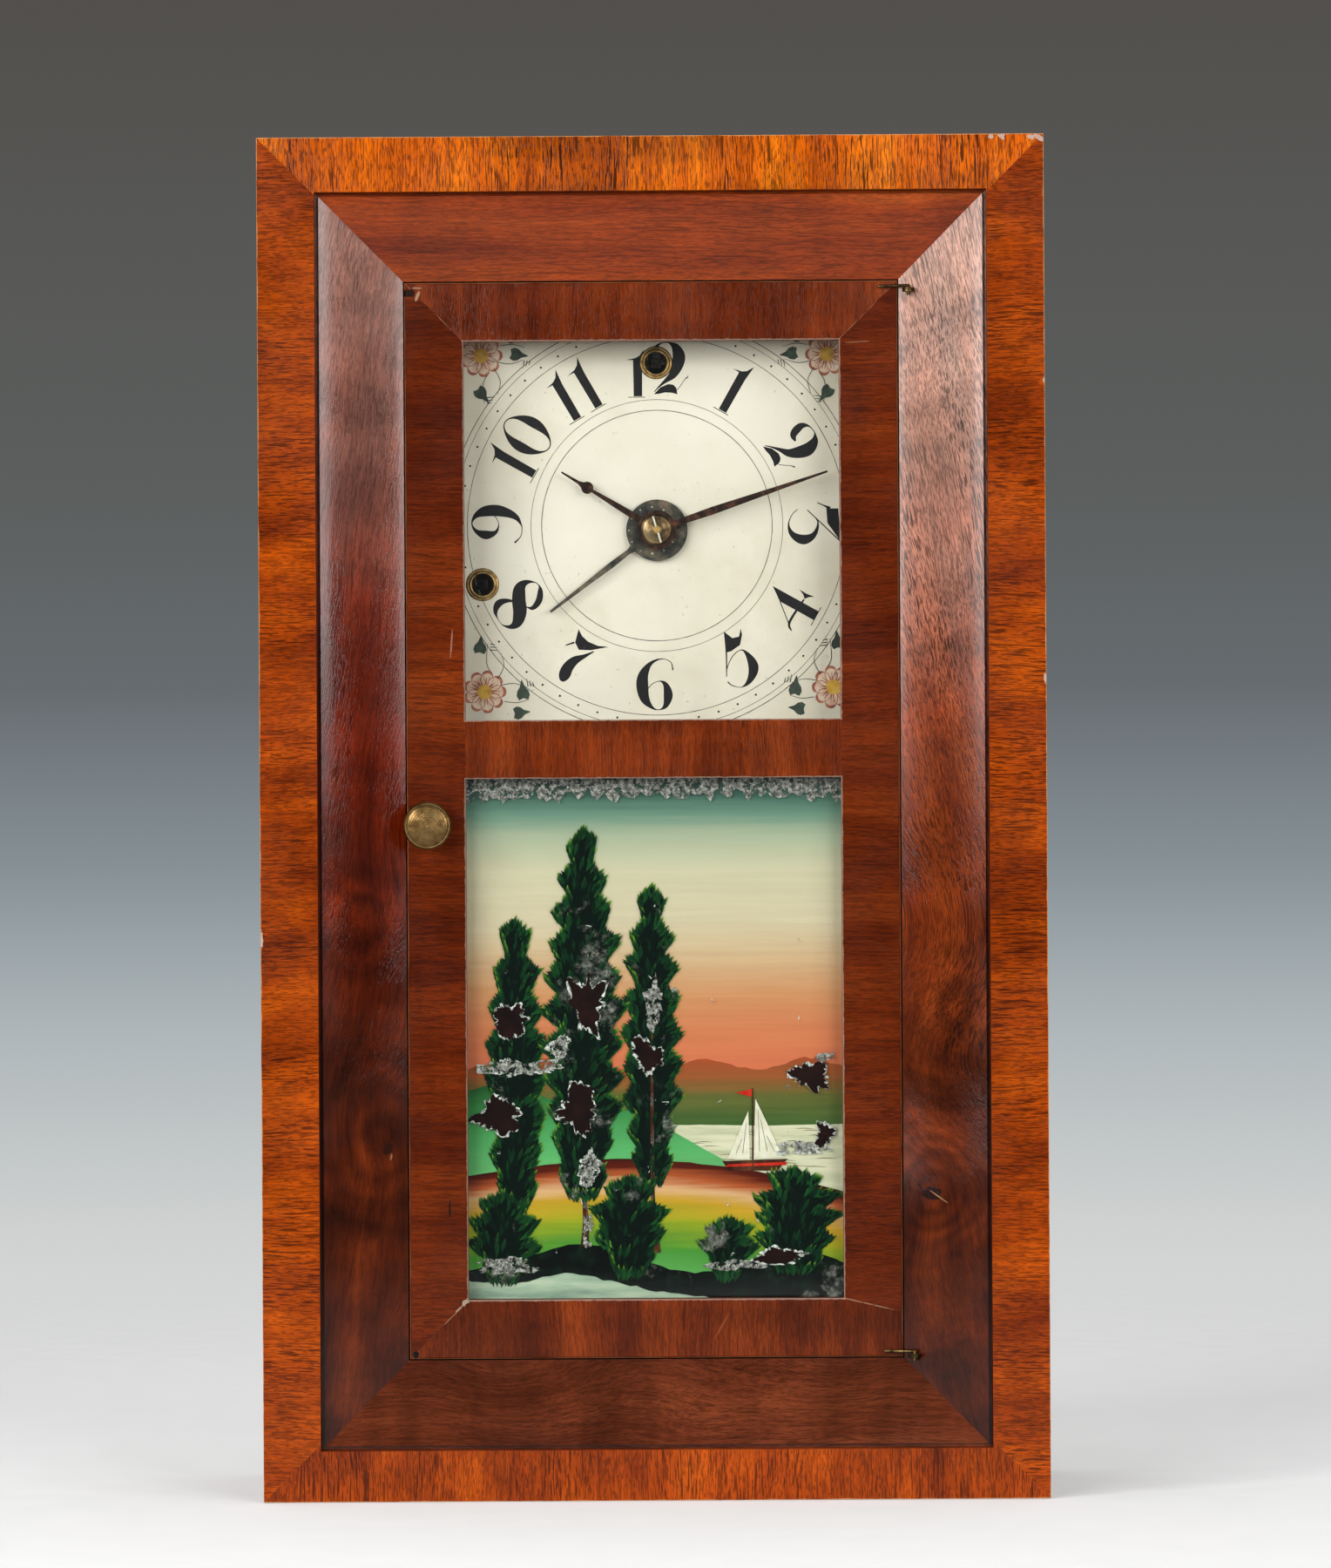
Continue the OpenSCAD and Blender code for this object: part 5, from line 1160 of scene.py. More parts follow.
def grey_paint():
    """The thinned black of the lines, broken along its length."""
    finish = Finish("thin_line_paint")
    broken = finish.noise(420, detail=3)
    colour = finish.ramp(broken, [(0.38, screen(48, 44, 38)), (0.68, screen(136, 128, 110))])
    return finish.set(Base_Color=colour, Roughness=finish.range(broken, 0.3, 0.7, 0.45, 0.6))


thin_line = grey_paint()
for name, (radius, width) in RINGS.items():
    grown(ring, name, {"Radius": radius * MM, "Width": width * MM, "Centre": ring_centre,
                       "Paint": thin_line},
          "case")
DOTS, DOT_RING_R, DOT_R = 60, 60.7 * MM, 0.34 * MM
grown(dots, "minute_dots", {"Count": DOTS, "Radius": DOT_RING_R, "Size": DOT_R, "Centre": ring_centre,
                            "Paint": ink}, "case")
print(f"{len(RINGS)} rings and {DOTS} minute dots")

# %% [markdown]
# ## Roses in the dial's corners
# Dial painters filled the corners with one quick rosette and a few leaves, always in the same order: cream
# petals, pink outlines, a yellow heart, then leaves and the thinnest brush for stalks. Each colour is one
# sheet here, a hair in front of the last, so the roses can be told from the dial when they are looked at
# from the side.

# %% Four rosettes with their leaves
ROSETTES = {(-1, 1): (-54.2, 52.9), (1, 1): (52.9, 52.8), (-1, -1): (-53.6, -51.2), (1, -1): (54.4, -50.3)}
PETALS, PETAL_AT, PETAL_LONG, PETAL_WIDE, HEART_R = 9, 3.9, 2.4, 1.95, 2.3
HIGH_LEAVES = [((9.5, -0.5), (14.6, 0.2)), ((-1.0, 10.5), (2.4, 14.6)), ((8.6, -6.0), (12.8, -4.6))]
LOW_LEAVES = [((12.0, -2.0), (11.4, 3.6)), ((-1.5, 12.3), (-1.0, 17.4)), ((9.3, -6.7), (14.0, -6.2))]
STALKS = [[(4, 4, 0.26), (6, 8, 0.2), (5, 12, 0.14)], [(5, 2, 0.26), (9, 2.6, 0.22), (13, 1.4, 0.14)],
          [(2, 6, 0.26), (0.6, 9, 0.2), (1, 15, 0.14)], [(6, -3, 0.22), (10, -3.4, 0.2),
                                                         (13.6, -2.4, 0.14)]]
LEAF = [(0, 0), (-0.1, 0.7), (0.15, 1), (0.4, 0.85), (0.62, 0.38), (1, 0.06)]
LEAF_HALF_W = 2.05
HATCHES = [[(13.4 + 0.9 * i, 1.6, 0.34), (13.0 + 0.9 * i, 4.0 - 0.5 * i, 0.16)] for i in range(3)]
HATCHES += [[(1.8, 13.0 + 0.9 * i, 0.34), (4.2 - 0.5 * i, 12.8 + 0.9 * i, 0.16)] for i in range(3)]


def oval(x, z, long, wide, angle, count=12):
    """An oval's outline; its long axis points along angle."""
    points = []
    for i in range(count):
        a, b = long * math.cos(math.tau * i / count), wide * math.sin(math.tau * i / count)
        points.append((x + a * math.cos(angle) - b * math.sin(angle),
                       z + a * math.sin(angle) + b * math.cos(angle)))
    return points


def leaf_outline(foot, tip):
    """A heart-shaped leaf from its round foot to its drawn-out tip."""
    dx, dz = tip[0] - foot[0], tip[1] - foot[1]
    side = LEAF_HALF_W / math.hypot(dx, dz)
    around = LEAF + [(along, -out) for along, out in reversed(LEAF[1:])]
    return [(foot[0] + dx * along + dz * side * out, foot[1] + dz * along - dx * side * out) for along,
            out in around]


def in_corner(points, corner):
    """Points given towards the dial's middle, placed at their corner."""
    x, z = ROSETTES[corner]
    return [(RING_X + x - corner[0] * p[0], RING_Z + z - corner[1] * p[1]) + tuple(p[2:]) for p in points]


def painted(name, tones, scale=300):
    """Plain brush paint that is thick and thin in places."""
    finish = Finish(name, Roughness=0.5)
    thick = finish.noise(scale, detail=4, rough=0.65)
    colour = finish.shade(thick, tones, 0.32, 0.68)
    finish.relief(thick, 0.02 * MM)
    return finish.set(Base_Color=colour)


OUTER_END = (0, 1, 11)
PETAL_STREAK = [(2.3, 0.5), (3.4, 0.3), (4.6, 0.1)]
petals, blushes, hearts, leaves, stalks = [], [], [], [], []
for corner in ROSETTES:
    for i in range(PETALS):
        angle = math.tau * i / PETALS
        at = (PETAL_AT * math.cos(angle), PETAL_AT * math.sin(angle))
        rim = oval(*at, PETAL_LONG, PETAL_WIDE, angle)
        petals.append(in_corner(rim, corner))
        edge = [(x, z, 0.85 if k in OUTER_END else 0.2) for k, (x, z) in enumerate(rim)]
        blushes += brushed(in_corner(edge, corner), steps=2, closed=True)
        for turn in (-0.18, 0.04):
            streak = [(r * math.cos(angle + turn), r * math.sin(angle + turn), width) for r,
                      width in PETAL_STREAK]
            blushes += brushed(in_corner(streak, corner), steps=3)
    hearts.append(in_corner(oval(0, 0, HEART_R, HEART_R, 0, 18), corner))
    for foot, tip in (HIGH_LEAVES if corner[1] > 0 else LOW_LEAVES):
        leaves.append(in_corner(leaf_outline(foot, tip), corner))
    for stroke in STALKS + HATCHES:
        stalks += brushed(in_corner(stroke, corner), steps=4)
CORNER_PAINT = [("rosette_petals", petals, [(206, 162, 132), (224, 194, 166), (234, 216, 192)]),
                ("rosette_blush", blushes, [(130, 60, 40), (166, 88, 62), (200, 130, 98)]),
                ("rosette_hearts", hearts, [(180, 128, 26), (210, 162, 42), (224, 182, 70)]),
                ("corner_leaves", leaves, [(10, 28, 12), (18, 42, 18), (46, 76, 44)]),
                ("corner_stalks", stalks, [(26, 38, 24), (46, 56, 38), (92, 98, 72)])]
for place, (name, outlines, tones) in enumerate(CORNER_PAINT, start=1):
    sheet_piece(name, outlines, dial_front - place * FILM, painted(name + "_paint", tones), "case")
PIPS, PIP_RING_R, PIP_R = 12, 7.2 * MM, 0.28 * MM
DISC_FACE_IN = 0.5 * MM
pip_paint = painted("pip_paint", [(120, 116, 104), (170, 166, 150), (200, 196, 180)])
pip_centre = (0.0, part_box("alarm_disc")[0].y + DISC_FACE_IN - FILM, HUB_Z)
grown(dots, "disc_pips", {"Count": PIPS, "Radius": PIP_RING_R, "Size": PIP_R, "Paint": pip_paint,
                          "Centre": pip_centre}, "alarm_setting")
print(f"{len(ROSETTES)} rosettes of {PETALS} petals, {len(leaves)} leaves and {PIPS} pips")

# %% [markdown]
# ## The painted tablet
# Glass is painted from behind and in the opposite order to a picture on canvas: what is nearest the viewer
# goes on first, the sky last. So each thing is a sheet, and each sheet lies a twentieth of a millimetre
# behind the one before. The landscape is an invented one of poplars beside a lake, in the colours that
# these tablets have.

# %% Outlines with a painter's wobble
TABLET_X, TABLET_LO, TABLET_HI = 58.2, 59.9, 220.7
tablet_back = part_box("tablet_glass")[1].y
SHEET_GAP = 0.05 * MM
BLOB_POINTS, BLOB_JAG = 64, 0.26


def tablet_sheet(name, outlines, place, material):
    """A sheet of paint behind the lower glass; place 1 is next to the glass."""
    return sheet_piece(name, outlines, tablet_back + place * SHEET_GAP, material, "door")


def wavy(points, seed, wobble):
    """A smooth line through the points, with a small shake."""
    dice = random.Random(seed)
    return [(min(max(x, -TABLET_X), TABLET_X), z + dice.uniform(-wobble, wobble))
            for x, z in through(points, 7)]


def band(top, foot, seed, wobble=0.4):
    """The ground between two lines, as upright strips."""
    upper, lower = wavy(top, seed, wobble), wavy(foot, seed + 1, wobble)
    return [[a, b, d, c] for a, b, c, d in zip(upper, upper[1:], lower, lower[1:])]


def blob(x, z, half_w, half_h, seed):
    """A ragged patch, as paint comes off glass."""
    dice = random.Random(seed)
    points, reach = [], 1.0
    for i in range(BLOB_POINTS):
        reach = min(max(reach + dice.uniform(-BLOB_JAG, BLOB_JAG), 0.55), 1.3)
        angle = math.tau * i / BLOB_POINTS
        points.append((x + half_w * reach * math.cos(angle), z + half_h * reach * math.sin(angle)))
    return points


def fan(outline):
    """An outline that may be hollow in places, as triangles about its middle."""
    middle = (sum(p[0] for p in outline) / len(outline), sum(p[1] for p in outline) / len(outline))
    return [[middle, a, b] for a, b in zip(outline, outline[1:] + outline[:1])]


print("painter's outlines ready")

# %% [markdown]
# ## Paints of the tablet
# The sky is one sheet, graded from blue-green down to the salmon of the horizon by wiping two wet colours
# into each other, which leaves level brush marks. The meadow is graded the same way, but along its own
# curved edge. Where the paint has crazed it has gone grey, and each colour carries some of that.

# %% Graded, crazed and plain paints
CRACKLE = [(0.44, screen(206, 208, 196)), (0.56, screen(128, 130, 120)), (0.72, screen(58, 60, 54))]
MEADOW_BEND = 2.2


def crazed(finish, colour, low, high, strength=0.75):
    """Lays grey crackle over a colour where a slow noise runs high."""
    spread = finish.noise(62, detail=5, rough=0.72)
    cells = finish.cracks(950)
    grain = finish.noise(900, detail=3, rough=0.7)
    grey = finish.ramp(grain + cells, CRACKLE)
    share = finish.range(spread + (grain - 0.5) * 0.16, low, high) * strength
    return finish.over(share, colour, grey)


def graded(name, stops, height, low, high, streak=0.14, craze=(0.66, 0.74)):
    """Paint graded over a height, with level brush marks.

    height takes the finish and gives a value in metres."""
    finish = Finish(name, Roughness=0.6, Specular_IOR_Level=0.0)
    marks = finish.noise((16, 16, 420), detail=5, rough=0.65)
    level = height(finish) + (marks - 0.5) * (7 * MM)
    share = finish.take("MapRange", {"Value": level, "From Min": low * MM, "From Max": high * MM})
    colour = finish.ramp(share, [((z - low) / (high - low), screen(*tone)) for z, tone in stops])
    colour = finish.gain(colour, finish.range(marks, 0.25, 0.75, 1 - streak / 2, 1 + streak / 2))
    return finish.set(Base_Color=crazed(finish, colour, *craze))


def up(finish):
    """Height above the shelf."""
    return finish.axis(finish.where(), "Z")


def below_meadow_edge(finish):
    """Height above the meadow's own curved lines, which fall away to both sides."""
    x = finish.axis(finish.where(), "X") + 12 * MM
    return up(finish) + x * x * MEADOW_BEND


def plain(name, tones, craze=(0.62, 0.7), scale=160, strength=0.7):
    """Paint of one colour, crazed in places."""
    finish = Finish(name, Roughness=0.6, Specular_IOR_Level=0.0)
    thick = finish.noise(scale, detail=5, rough=0.65)
    colour = finish.shade(thick, tones, 0.32, 0.68)
    return finish.set(Base_Color=crazed(finish, colour, *craze, strength))


def flaky(name, tones, low, high):
    """Grey crackle or curled film, eaten into holes by a fine noise."""
    finish = Finish(name, Roughness=0.7, Specular_IOR_Level=0.1)
    grain = finish.noise(760, detail=4, rough=0.75)
    colour = finish.shade(grain, tones, 0.36, 0.62)
    holes = finish.noise(420, detail=4, rough=0.7)
    return finish.set(Base_Color=colour, Alpha=finish.range(holes, low, high))


def foliage_paint():
    """Dark green dabs with yellow tips, both kept on the dabs as attributes."""
    finish = Finish("foliage_paint", Roughness=0.6, Specular_IOR_Level=0.0)
    tone = finish.take("Attribute", output="Fac", attribute_name="tone")
    tip = finish.take("Attribute", output="Fac", attribute_name="tip")
    body = finish.shade(tone, [(2, 16, 9), (6, 38, 20), (20, 74, 30)], 0.0, 1.0)
    bright = finish.range(tip, 0.3, 1.0) * finish.range(tone, 0.5, 1.0, 0.0, 0.95)
    colour = finish.over(bright, body, screen(112, 158, 36))
    return finish.set(Base_Color=crazed(finish, colour, 0.56, 0.68, 0.8))


SKY = [(128, (206, 112, 76)), (142, (200, 120, 80)), (154, (198, 142, 96)), (164, (200, 170, 130)),
       (176, (202, 192, 160)), (192, (198, 194, 162)), (202, (164, 176, 148)), (209, (104, 140, 120)),
       (215, (62, 96, 84)), (220, (40, 58, 54))]
MEADOW = [(66, (96, 168, 92)), (76, (70, 140, 50)), (84, (142, 158, 34)), (91, (190, 150, 40)),
          (95, (206, 166, 118)), (98, (170, 84, 44)), (101, (84, 26, 12)), (104, (40, 14, 8))]
SHORE = [(92, (112, 184, 116)), (106, (86, 168, 98)), (118, (58, 134, 70)), (126, (30, 74, 34))]
foliage = foliage_paint()
bark = plain("bark_paint", [(40, 20, 12), (74, 40, 22), (120, 74, 40)], (0.5, 0.62), (300, 300, 120), 0.85)
print("tablet paints ready")

# %% [markdown]
# ## Trees from brush dabs
# A tablet painter laid foliage with a flat brush full of two greens, so each dab is dark at its foot and
# light at its tip. One tree of Geometry Nodes does this for every crown: it scatters dabs over the crown's
# outline and plants a denser row round its edge, leans each dab away from the trunk, and keeps a random
# tone on each one.

# %% Tree of nodes for foliage
DAB_STEP, EDGE_BACK, BASE_BACK = 0.0002 * MM, 0.12 * MM, 0.18 * MM


def dabs_at(tree, given, points, dab, seed_shift, small, large, dark, light):
    """Dabs on a set of points: leaning outwards, of random size and tone, each a hair behind the last."""
    place = step(tree, "GeometryNodeInputPosition")
    parts = step(tree, "ShaderNodeSeparateXYZ", {0: place.outputs[0]})
    out = step(tree, "ShaderNodeMath", {0: parts.outputs[0], 1: given.outputs["Middle"]},
               operation="SUBTRACT")
    lean = step(tree, "ShaderNodeMath", {0: out.outputs[0], 1: given.outputs["Lean"]}, operation="MULTIPLY")
    seed = step(tree, "ShaderNodeMath", {0: given.outputs["Seed"], 1: float(seed_shift)}, operation="ADD")
    turn = step(tree, "FunctionNodeRandomValue", {2: -0.42, 3: 0.42, "Seed": seed.outputs[0]},
                data_type="FLOAT")
    both = step(tree, "ShaderNodeMath", {0: lean.outputs[0], 1: turn.outputs[1]}, operation="ADD")
    rotation = step(tree, "ShaderNodeCombineXYZ", {1: both.outputs[0]})
    size = step(tree, "FunctionNodeRandomValue", {2: small, 3: large, "Seed": seed.outputs[0]},
                data_type="FLOAT")
    tone = step(tree, "FunctionNodeRandomValue", {2: dark, 3: light, "Seed": seed.outputs[0]},
                data_type="FLOAT")
    order = step(tree, "GeometryNodeInputIndex")
    back = step(tree, "ShaderNodeMath", {0: order.outputs[0], 1: DAB_STEP}, operation="MULTIPLY")
    shift = step(tree, "ShaderNodeCombineXYZ", {1: back.outputs[0]})
    moved = step(tree, "GeometryNodeSetPosition", {"Geometry": points, "Offset": shift.outputs[0]})
    planted = step(tree, "GeometryNodeInstanceOnPoints", {"Points": moved.outputs[0], "Instance": dab,
                                                          "Rotation": rotation.outputs[0],
                                                          "Scale": size.outputs[1]})
    kept = step(tree, "GeometryNodeStoreNamedAttribute", {"Geometry": planted.outputs[0], "Name": "tone",
                                                          "Value": tone.outputs[1]},
                data_type="FLOAT", domain="INSTANCE")
    return kept.outputs[0]


def foliage_tree():
    """A crown's outline grown over with dabs.

    Its own face lies behind, the rim's dabs next and the scattered ones in front."""
    tree, given, outside = new_tree("foliage", [("Crown", "Geometry", None), ("Density", "Float", 160000.0),
                                                ("Spacing", "Float", 0.0007), ("Dab", "Float", 0.0022),
                                                ("Middle", "Float", 0.0), ("Lean", "Float", 60.0),
                                                ("Seed", "Int", 1), ("Paint", "Material", None)])
    diamond = step(tree, "GeometryNodeMeshCircle", {"Vertices": 4, "Radius": given.outputs["Dab"]},
                   fill_type="NGON")
    slim = step(tree, "GeometryNodeTransform", {"Geometry": diamond.outputs[0], "Scale": (0.3, 1.0, 1.0)})
    dab = stand_up(tree, slim.outputs[0], (0.0, 0.0, 0.0))
    height = step(tree, "ShaderNodeSeparateXYZ", {0: step(tree, "GeometryNodeInputPosition").outputs[0]})
    share = step(tree, "ShaderNodeMath", {0: height.outputs[2], 1: given.outputs["Dab"]},
                 operation="DIVIDE")
    dab = step(tree, "GeometryNodeStoreNamedAttribute", {"Geometry": dab, "Name": "tip",
                                                         "Value": share.outputs[0]},
               data_type="FLOAT", domain="POINT").outputs[0]
    inner = step(tree, "GeometryNodeDistributePointsOnFaces", {"Mesh": given.outputs["Crown"],
                                                               "Density": given.outputs["Density"],
                                                               "Seed": given.outputs["Seed"]})
    rim = step(tree, "GeometryNodeMeshToCurve", {"Mesh": given.outputs["Crown"]})
    beads = step(tree, "GeometryNodeCurveToPoints", {"Curve": rim.outputs[0],
                                                     "Length": given.outputs["Spacing"]},
                 mode="LENGTH")
    front = dabs_at(tree, given, inner.outputs[0], dab, 3, 0.6, 1.1, 0.0, 0.72)
    edge = dabs_at(tree, given, beads.outputs[0], dab, 7, 0.7, 1.3, 0.3, 1.0)
    edge = step(tree, "GeometryNodeTransform", {"Geometry": edge, "Translation": (0.0, EDGE_BACK, 0.0)})
    base = step(tree, "GeometryNodeTransform", {"Geometry": given.outputs["Crown"],
                                                "Translation": (0.0, BASE_BACK, 0.0)})
    joined = step(tree, "GeometryNodeJoinGeometry")
    for part in (base.outputs[0], edge.outputs[0], front):
        tree.links.new(part, joined.inputs[0])
    return finish_tree(tree, outside, joined.outputs[0], given.outputs["Paint"])


def crown_outline(at_x, foot, top, half, tiers, seed):
    """A flame that steps in and out, tier by tier, on both sides."""
    dice = random.Random(seed)
    sides = []
    for sign in (1, -1):
        side = []
        for i in range(tiers):
            t = i / tiers
            reach = half * math.sin(math.pi * (0.16 + 0.84 * t)) ** 0.75
            rise = (top - foot) / tiers
            side.append((at_x + sign * reach * dice.uniform(0.5, 0.72), foot + rise * i))
            side.append((at_x + sign * reach * dice.uniform(0.92, 1.16),
                         foot + rise * (i + dice.uniform(0.4, 0.75))))
        sides.append(side)
    return sides[0] + [(at_x, top)] + sides[1][::-1]


def grown_crown(name, place, at_x, foot, top, half, tiers, seed):
    """One crown's outline as a mesh, grown over with dabs."""
    outline = crown_outline(at_x, foot, top, half, tiers, seed)
    depth = tablet_back + place * SHEET_GAP
    start = bpy.data.meshes.new(name)
    start.from_pydata([(x * MM, depth, z * MM) for x, z in outline], [], [list(range(len(outline)))])
    return grown(foliage_net, name, {"Middle": at_x * MM, "Lean": 0.9 / (half * MM), "Seed": seed,
                                     "Paint": foliage}, "door", start)


foliage_net = foliage_tree()
CROWNS = {"poplar_tall": (7, -22, 92, 204, 11.5, 11, 4), "poplar_left": (8, -43, 88, 176, 9.0, 8, 9),
          "poplar_middle": (9, -1, 96, 186, 8.5, 9, 12), "bush_left": (6, -47, 66, 92, 10.0, 4, 15),
          "bush_middle": (6, -8, 68, 97, 11.0, 4, 21), "bush_right": (6, 43, 69, 99, 12.5, 5, 30),
          "shrub_right": (5, 22, 67, 84, 8.0, 3, 34)}
for name, crown in CROWNS.items():
    grown_crown(name, *crown)
TRUNKS = [[(-22, 76, 2.6), (-21.6, 84, 1.8), (-22, 96, 1.4), (-22, 150, 0.8)],
          [(-42, 74, 2.0), (-42.6, 82, 1.4), (-43, 92, 1.1), (-43, 130, 0.6)],
          [(0.4, 74, 2.2), (-0.6, 86, 1.5), (-1, 98, 1.2), (-1, 145, 0.7)],
          [(43, 72, 1.2), (43, 92, 0.5)], [(-8, 70, 1.2), (-8, 90, 0.5)]]
tablet_sheet("tree_trunks", [piece for trunk in TRUNKS for piece in brushed(trunk)], 12, bark)
print(f"{len(CROWNS)} crowns in leaf")

# %% [markdown]
# ## Land, lake and sky
# Banks, meadow, lake and hills are bands between two wavy lines. The lines are drawn through a few points
# and shaken a little by a seeded random number, so they look drawn by hand and yet come out the same on
# every run.

# %% The landscape's sheets
X = TABLET_X
tablet_sheet("near_bank", band([(-X, 69), (-40, 73), (-22, 77), (-6, 72), (12, 68), (30, 72), (46, 74),
                                (X, 71)],
                               [(-X, 66), (-44, 65), (-28, 68), (-12, 65), (2, 62), (20, 59.9), (40, 59.9),
                                (X, 59.9)], 41),
             13, plain("bank_paint", [(2, 6, 5), (5, 14, 9), (14, 34, 22)], (0.54, 0.66)))
tablet_sheet("pond", band([(-X, 70), (-20, 72), (20, 68), (X, 66)],
                          [(-X, 59.9), (-20, 59.9), (20, 59.9), (X, 59.9)], 43, 0.0),
             16, plain("pond_paint", [(122, 150, 130), (156, 180, 154), (184, 200, 172)], (0.64, 0.72),
                       (40, 40, 300)))
tablet_sheet("meadow", band([(-X, 98), (-34, 101.4), (-12, 103), (14, 101.4), (38, 97.6), (X, 92.6)],
                            [(-X, 68), (-34, 68), (-12, 68), (14, 66), (38, 66), (X, 66)], 47, 0.15),
             15, graded("meadow_paint", MEADOW, below_meadow_edge, 66, 104))
tablet_sheet("far_shore", band([(-X, 124), (-46, 126), (-30, 121), (-12, 119), (6, 111), (26, 99.4)],
                               [(-X, 96), (-46, 96), (-30, 96), (-12, 96), (6, 96), (26, 99)], 53, 0.25),
             17, graded("shore_paint", SHORE, up, 92, 126, 0.2))
tablet_sheet("lake", band([(-20, 113), (10, 113.4), (34, 113), (X, 113.4)],
                          [(-20, 90), (10, 90), (34, 90), (X, 90)], 59, 0.1),
             19, plain("lake_paint", [(176, 180, 146), (202, 204, 170), (216, 214, 184)], (0.66, 0.74),
                       (30, 30, 420)))
RIPPLES = 34
dice = random.Random(61)
ripples = []
for _ in range(RIPPLES):
    x, z = dice.uniform(4, 50), dice.uniform(98, 112)
    ripples += brushed([(x, z, 0.06), (x + 2.5, z + 0.2, 0.22), (x + dice.uniform(5, 7), z, 0.06)], steps=3)
tablet_sheet("lake_ripples", ripples, 18,
             plain("ripple_paint", [(96, 74, 50), (120, 96, 66), (150, 130, 96)]))
tablet_sheet("far_hills", band([(-X, 131), (-30, 134), (-4, 130), (16, 133.5), (32, 130), (46, 134),
                                (X, 131)],
                               [(-X, 112), (-30, 112), (-4, 112), (16, 112), (32, 112), (46, 112),
                                (X, 112)], 67),
             20, graded("hill_paint", [(112, (50, 92, 44)), (122, (96, 100, 48)), (128, (140, 84, 44)),
                                       (134, (166, 76, 42))], up, 112, 134, 0.2))
tablet_sheet("sky", [[(-X, 112), (X, 112), (X, TABLET_HI), (-X, TABLET_HI)]], 22,
             graded("sky_paint", SKY, up, 128, 220, 0.1, (0.70, 0.8)))
tablet_sheet("backing", [[(-X, TABLET_LO), (X, TABLET_LO), (X, TABLET_HI), (-X, TABLET_HI)]], 24,
             painted("backing_paint", [(84, 70, 52), (96, 82, 62), (110, 94, 72)], (30, 30, 200)))
print("landscape painted")

# %% [markdown]
# ## A boat, and what time took off
# Paint on glass lifts in flakes. Where it is gone the dark inside of the clock shows, here as a sheet of
# painted shade, inside a bright jagged rim where the film has curled up, and round about it the paint has
# crazed to grey. The loss is laid over the picture as sheets of its own, in front of the rest.

# %% Boat, losses and their rims
HULL = [[(20.5, 102.2), (22.4, 99.2), (37.6, 99.2), (40.6, 102.8)]]
SAILS = [[(30.2, 102.6), (39.2, 103.4), (30.8, 121.4)], [(29.0, 102.6), (22.2, 102.9), (28.6, 117.6)]]
PENNANT = [[(29.9, 124.4), (24.6, 123.2), (29.9, 121.9)],
           [(22.4, 101.2), (40.4, 101.8), (40.2, 100.9), (21.2, 100.4)]]
RIGGING = [[(29.9, 99, 0.5), (29.9, 124.6, 0.35)], [(32.0, 105, 0.12), (31.6, 118, 0.1)],
           [(34.4, 105, 0.12), (32.4, 115, 0.1)], [(36.6, 105, 0.12), (34.2, 110, 0.1)],
           [(26.8, 104.6, 0.12), (28.0, 114, 0.1)], [(24.8, 104.6, 0.12), (26.6, 109, 0.1)]]
tablet_sheet("boat_rigging", [piece for line in RIGGING for piece in brushed(line, steps=2)], 10,
             plain("rigging_paint", [(40, 22, 14), (60, 34, 22), (96, 62, 40)], (0.8, 0.9)))
tablet_sheet("boat_pennant", PENNANT, 11,
             plain("pennant_paint", [(150, 26, 16), (190, 40, 24), (206, 66, 40)]))
tablet_sheet("boat_sails", SAILS, 12,
             plain("sail_paint", [(204, 204, 176), (222, 220, 196), (230, 228, 208)]))
tablet_sheet("boat_hull", HULL, 12, plain("hull_paint", [(40, 20, 12), (66, 34, 20), (100, 60, 36)]))

LOSSES = [(-21, 150, 5.6, 12, 71), (-24.5, 118, 6, 7, 72), (-2, 134, 5.0, 6.5, 73), (-44, 146, 4.4, 5, 74),
          (47, 128, 6.5, 4.2, 75), (38, 73.4, 8.5, 2.4, 76), (-49, 117, 7, 5.5, 77),
          (52, 110, 3.0, 4.6, 78)]
FLAKES = [(-40, 131, 12, 2.6, 81), (-30, 138, 3.5, 3, 82), (-20, 101, 3.4, 6, 83), (44, 106, 8, 1.8, 84),
          (-46, 70, 8, 2.6, 85), (24, 70.5, 9, 1.6, 86), (0, 152, 3, 8, 87), (52, 134, 3, 2, 88),
          (-21, 82, 1.8, 5, 89)]
rims = []
for x, z, half_w, half_h, seed in LOSSES + FLAKES[:4]:
    dice = random.Random(seed + 100)
    edge = [(a, b, dice.choice((0.1, 0.2, 0.4, 0.9))) for a, b in blob(x, z, half_w, half_h, seed)]
    rims += brushed(edge, steps=2, closed=True)
SMALL_CHIPS = 26
dice = random.Random(90)
for _ in range(SMALL_CHIPS):
    x, z = dice.uniform(-50, 50), dice.uniform(68, 190)
    rims += brushed([(x, z, 0.1), (x + dice.uniform(-1, 1), z + dice.uniform(-1, 1), 0.35),
                     (x + dice.uniform(-1.4, 1.4), z + dice.uniform(0.4, 1.6), 0.1)], steps=2)
tablet_sheet("loss_rims", rims, 1,
             flaky("rim_film", [(96, 100, 92), (186, 192, 182), (228, 232, 224)], 0.44, 0.52))
# Painted shade: the dark sheet in each loss stands for the shaded inside of the case seen through bare glass.
tablet_sheet("losses", [part for x, z, w, h, seed in LOSSES for part in fan(blob(x, z, w, h, seed))], 2,
             plain("loss_painted_shade", [(16, 7, 6), (26, 11, 9), (38, 18, 13)], (0.9, 1.0)))
grey_flake = flaky("grey_flake", [(52, 54, 50), (120, 122, 114), (184, 186, 176)], 0.42, 0.5)
tablet_sheet("grey_flakes", [part for x, z, w, h, seed in FLAKES for part in fan(blob(x, z, w, h, seed))],
             3, grey_flake)
TOP_STEPS = 60
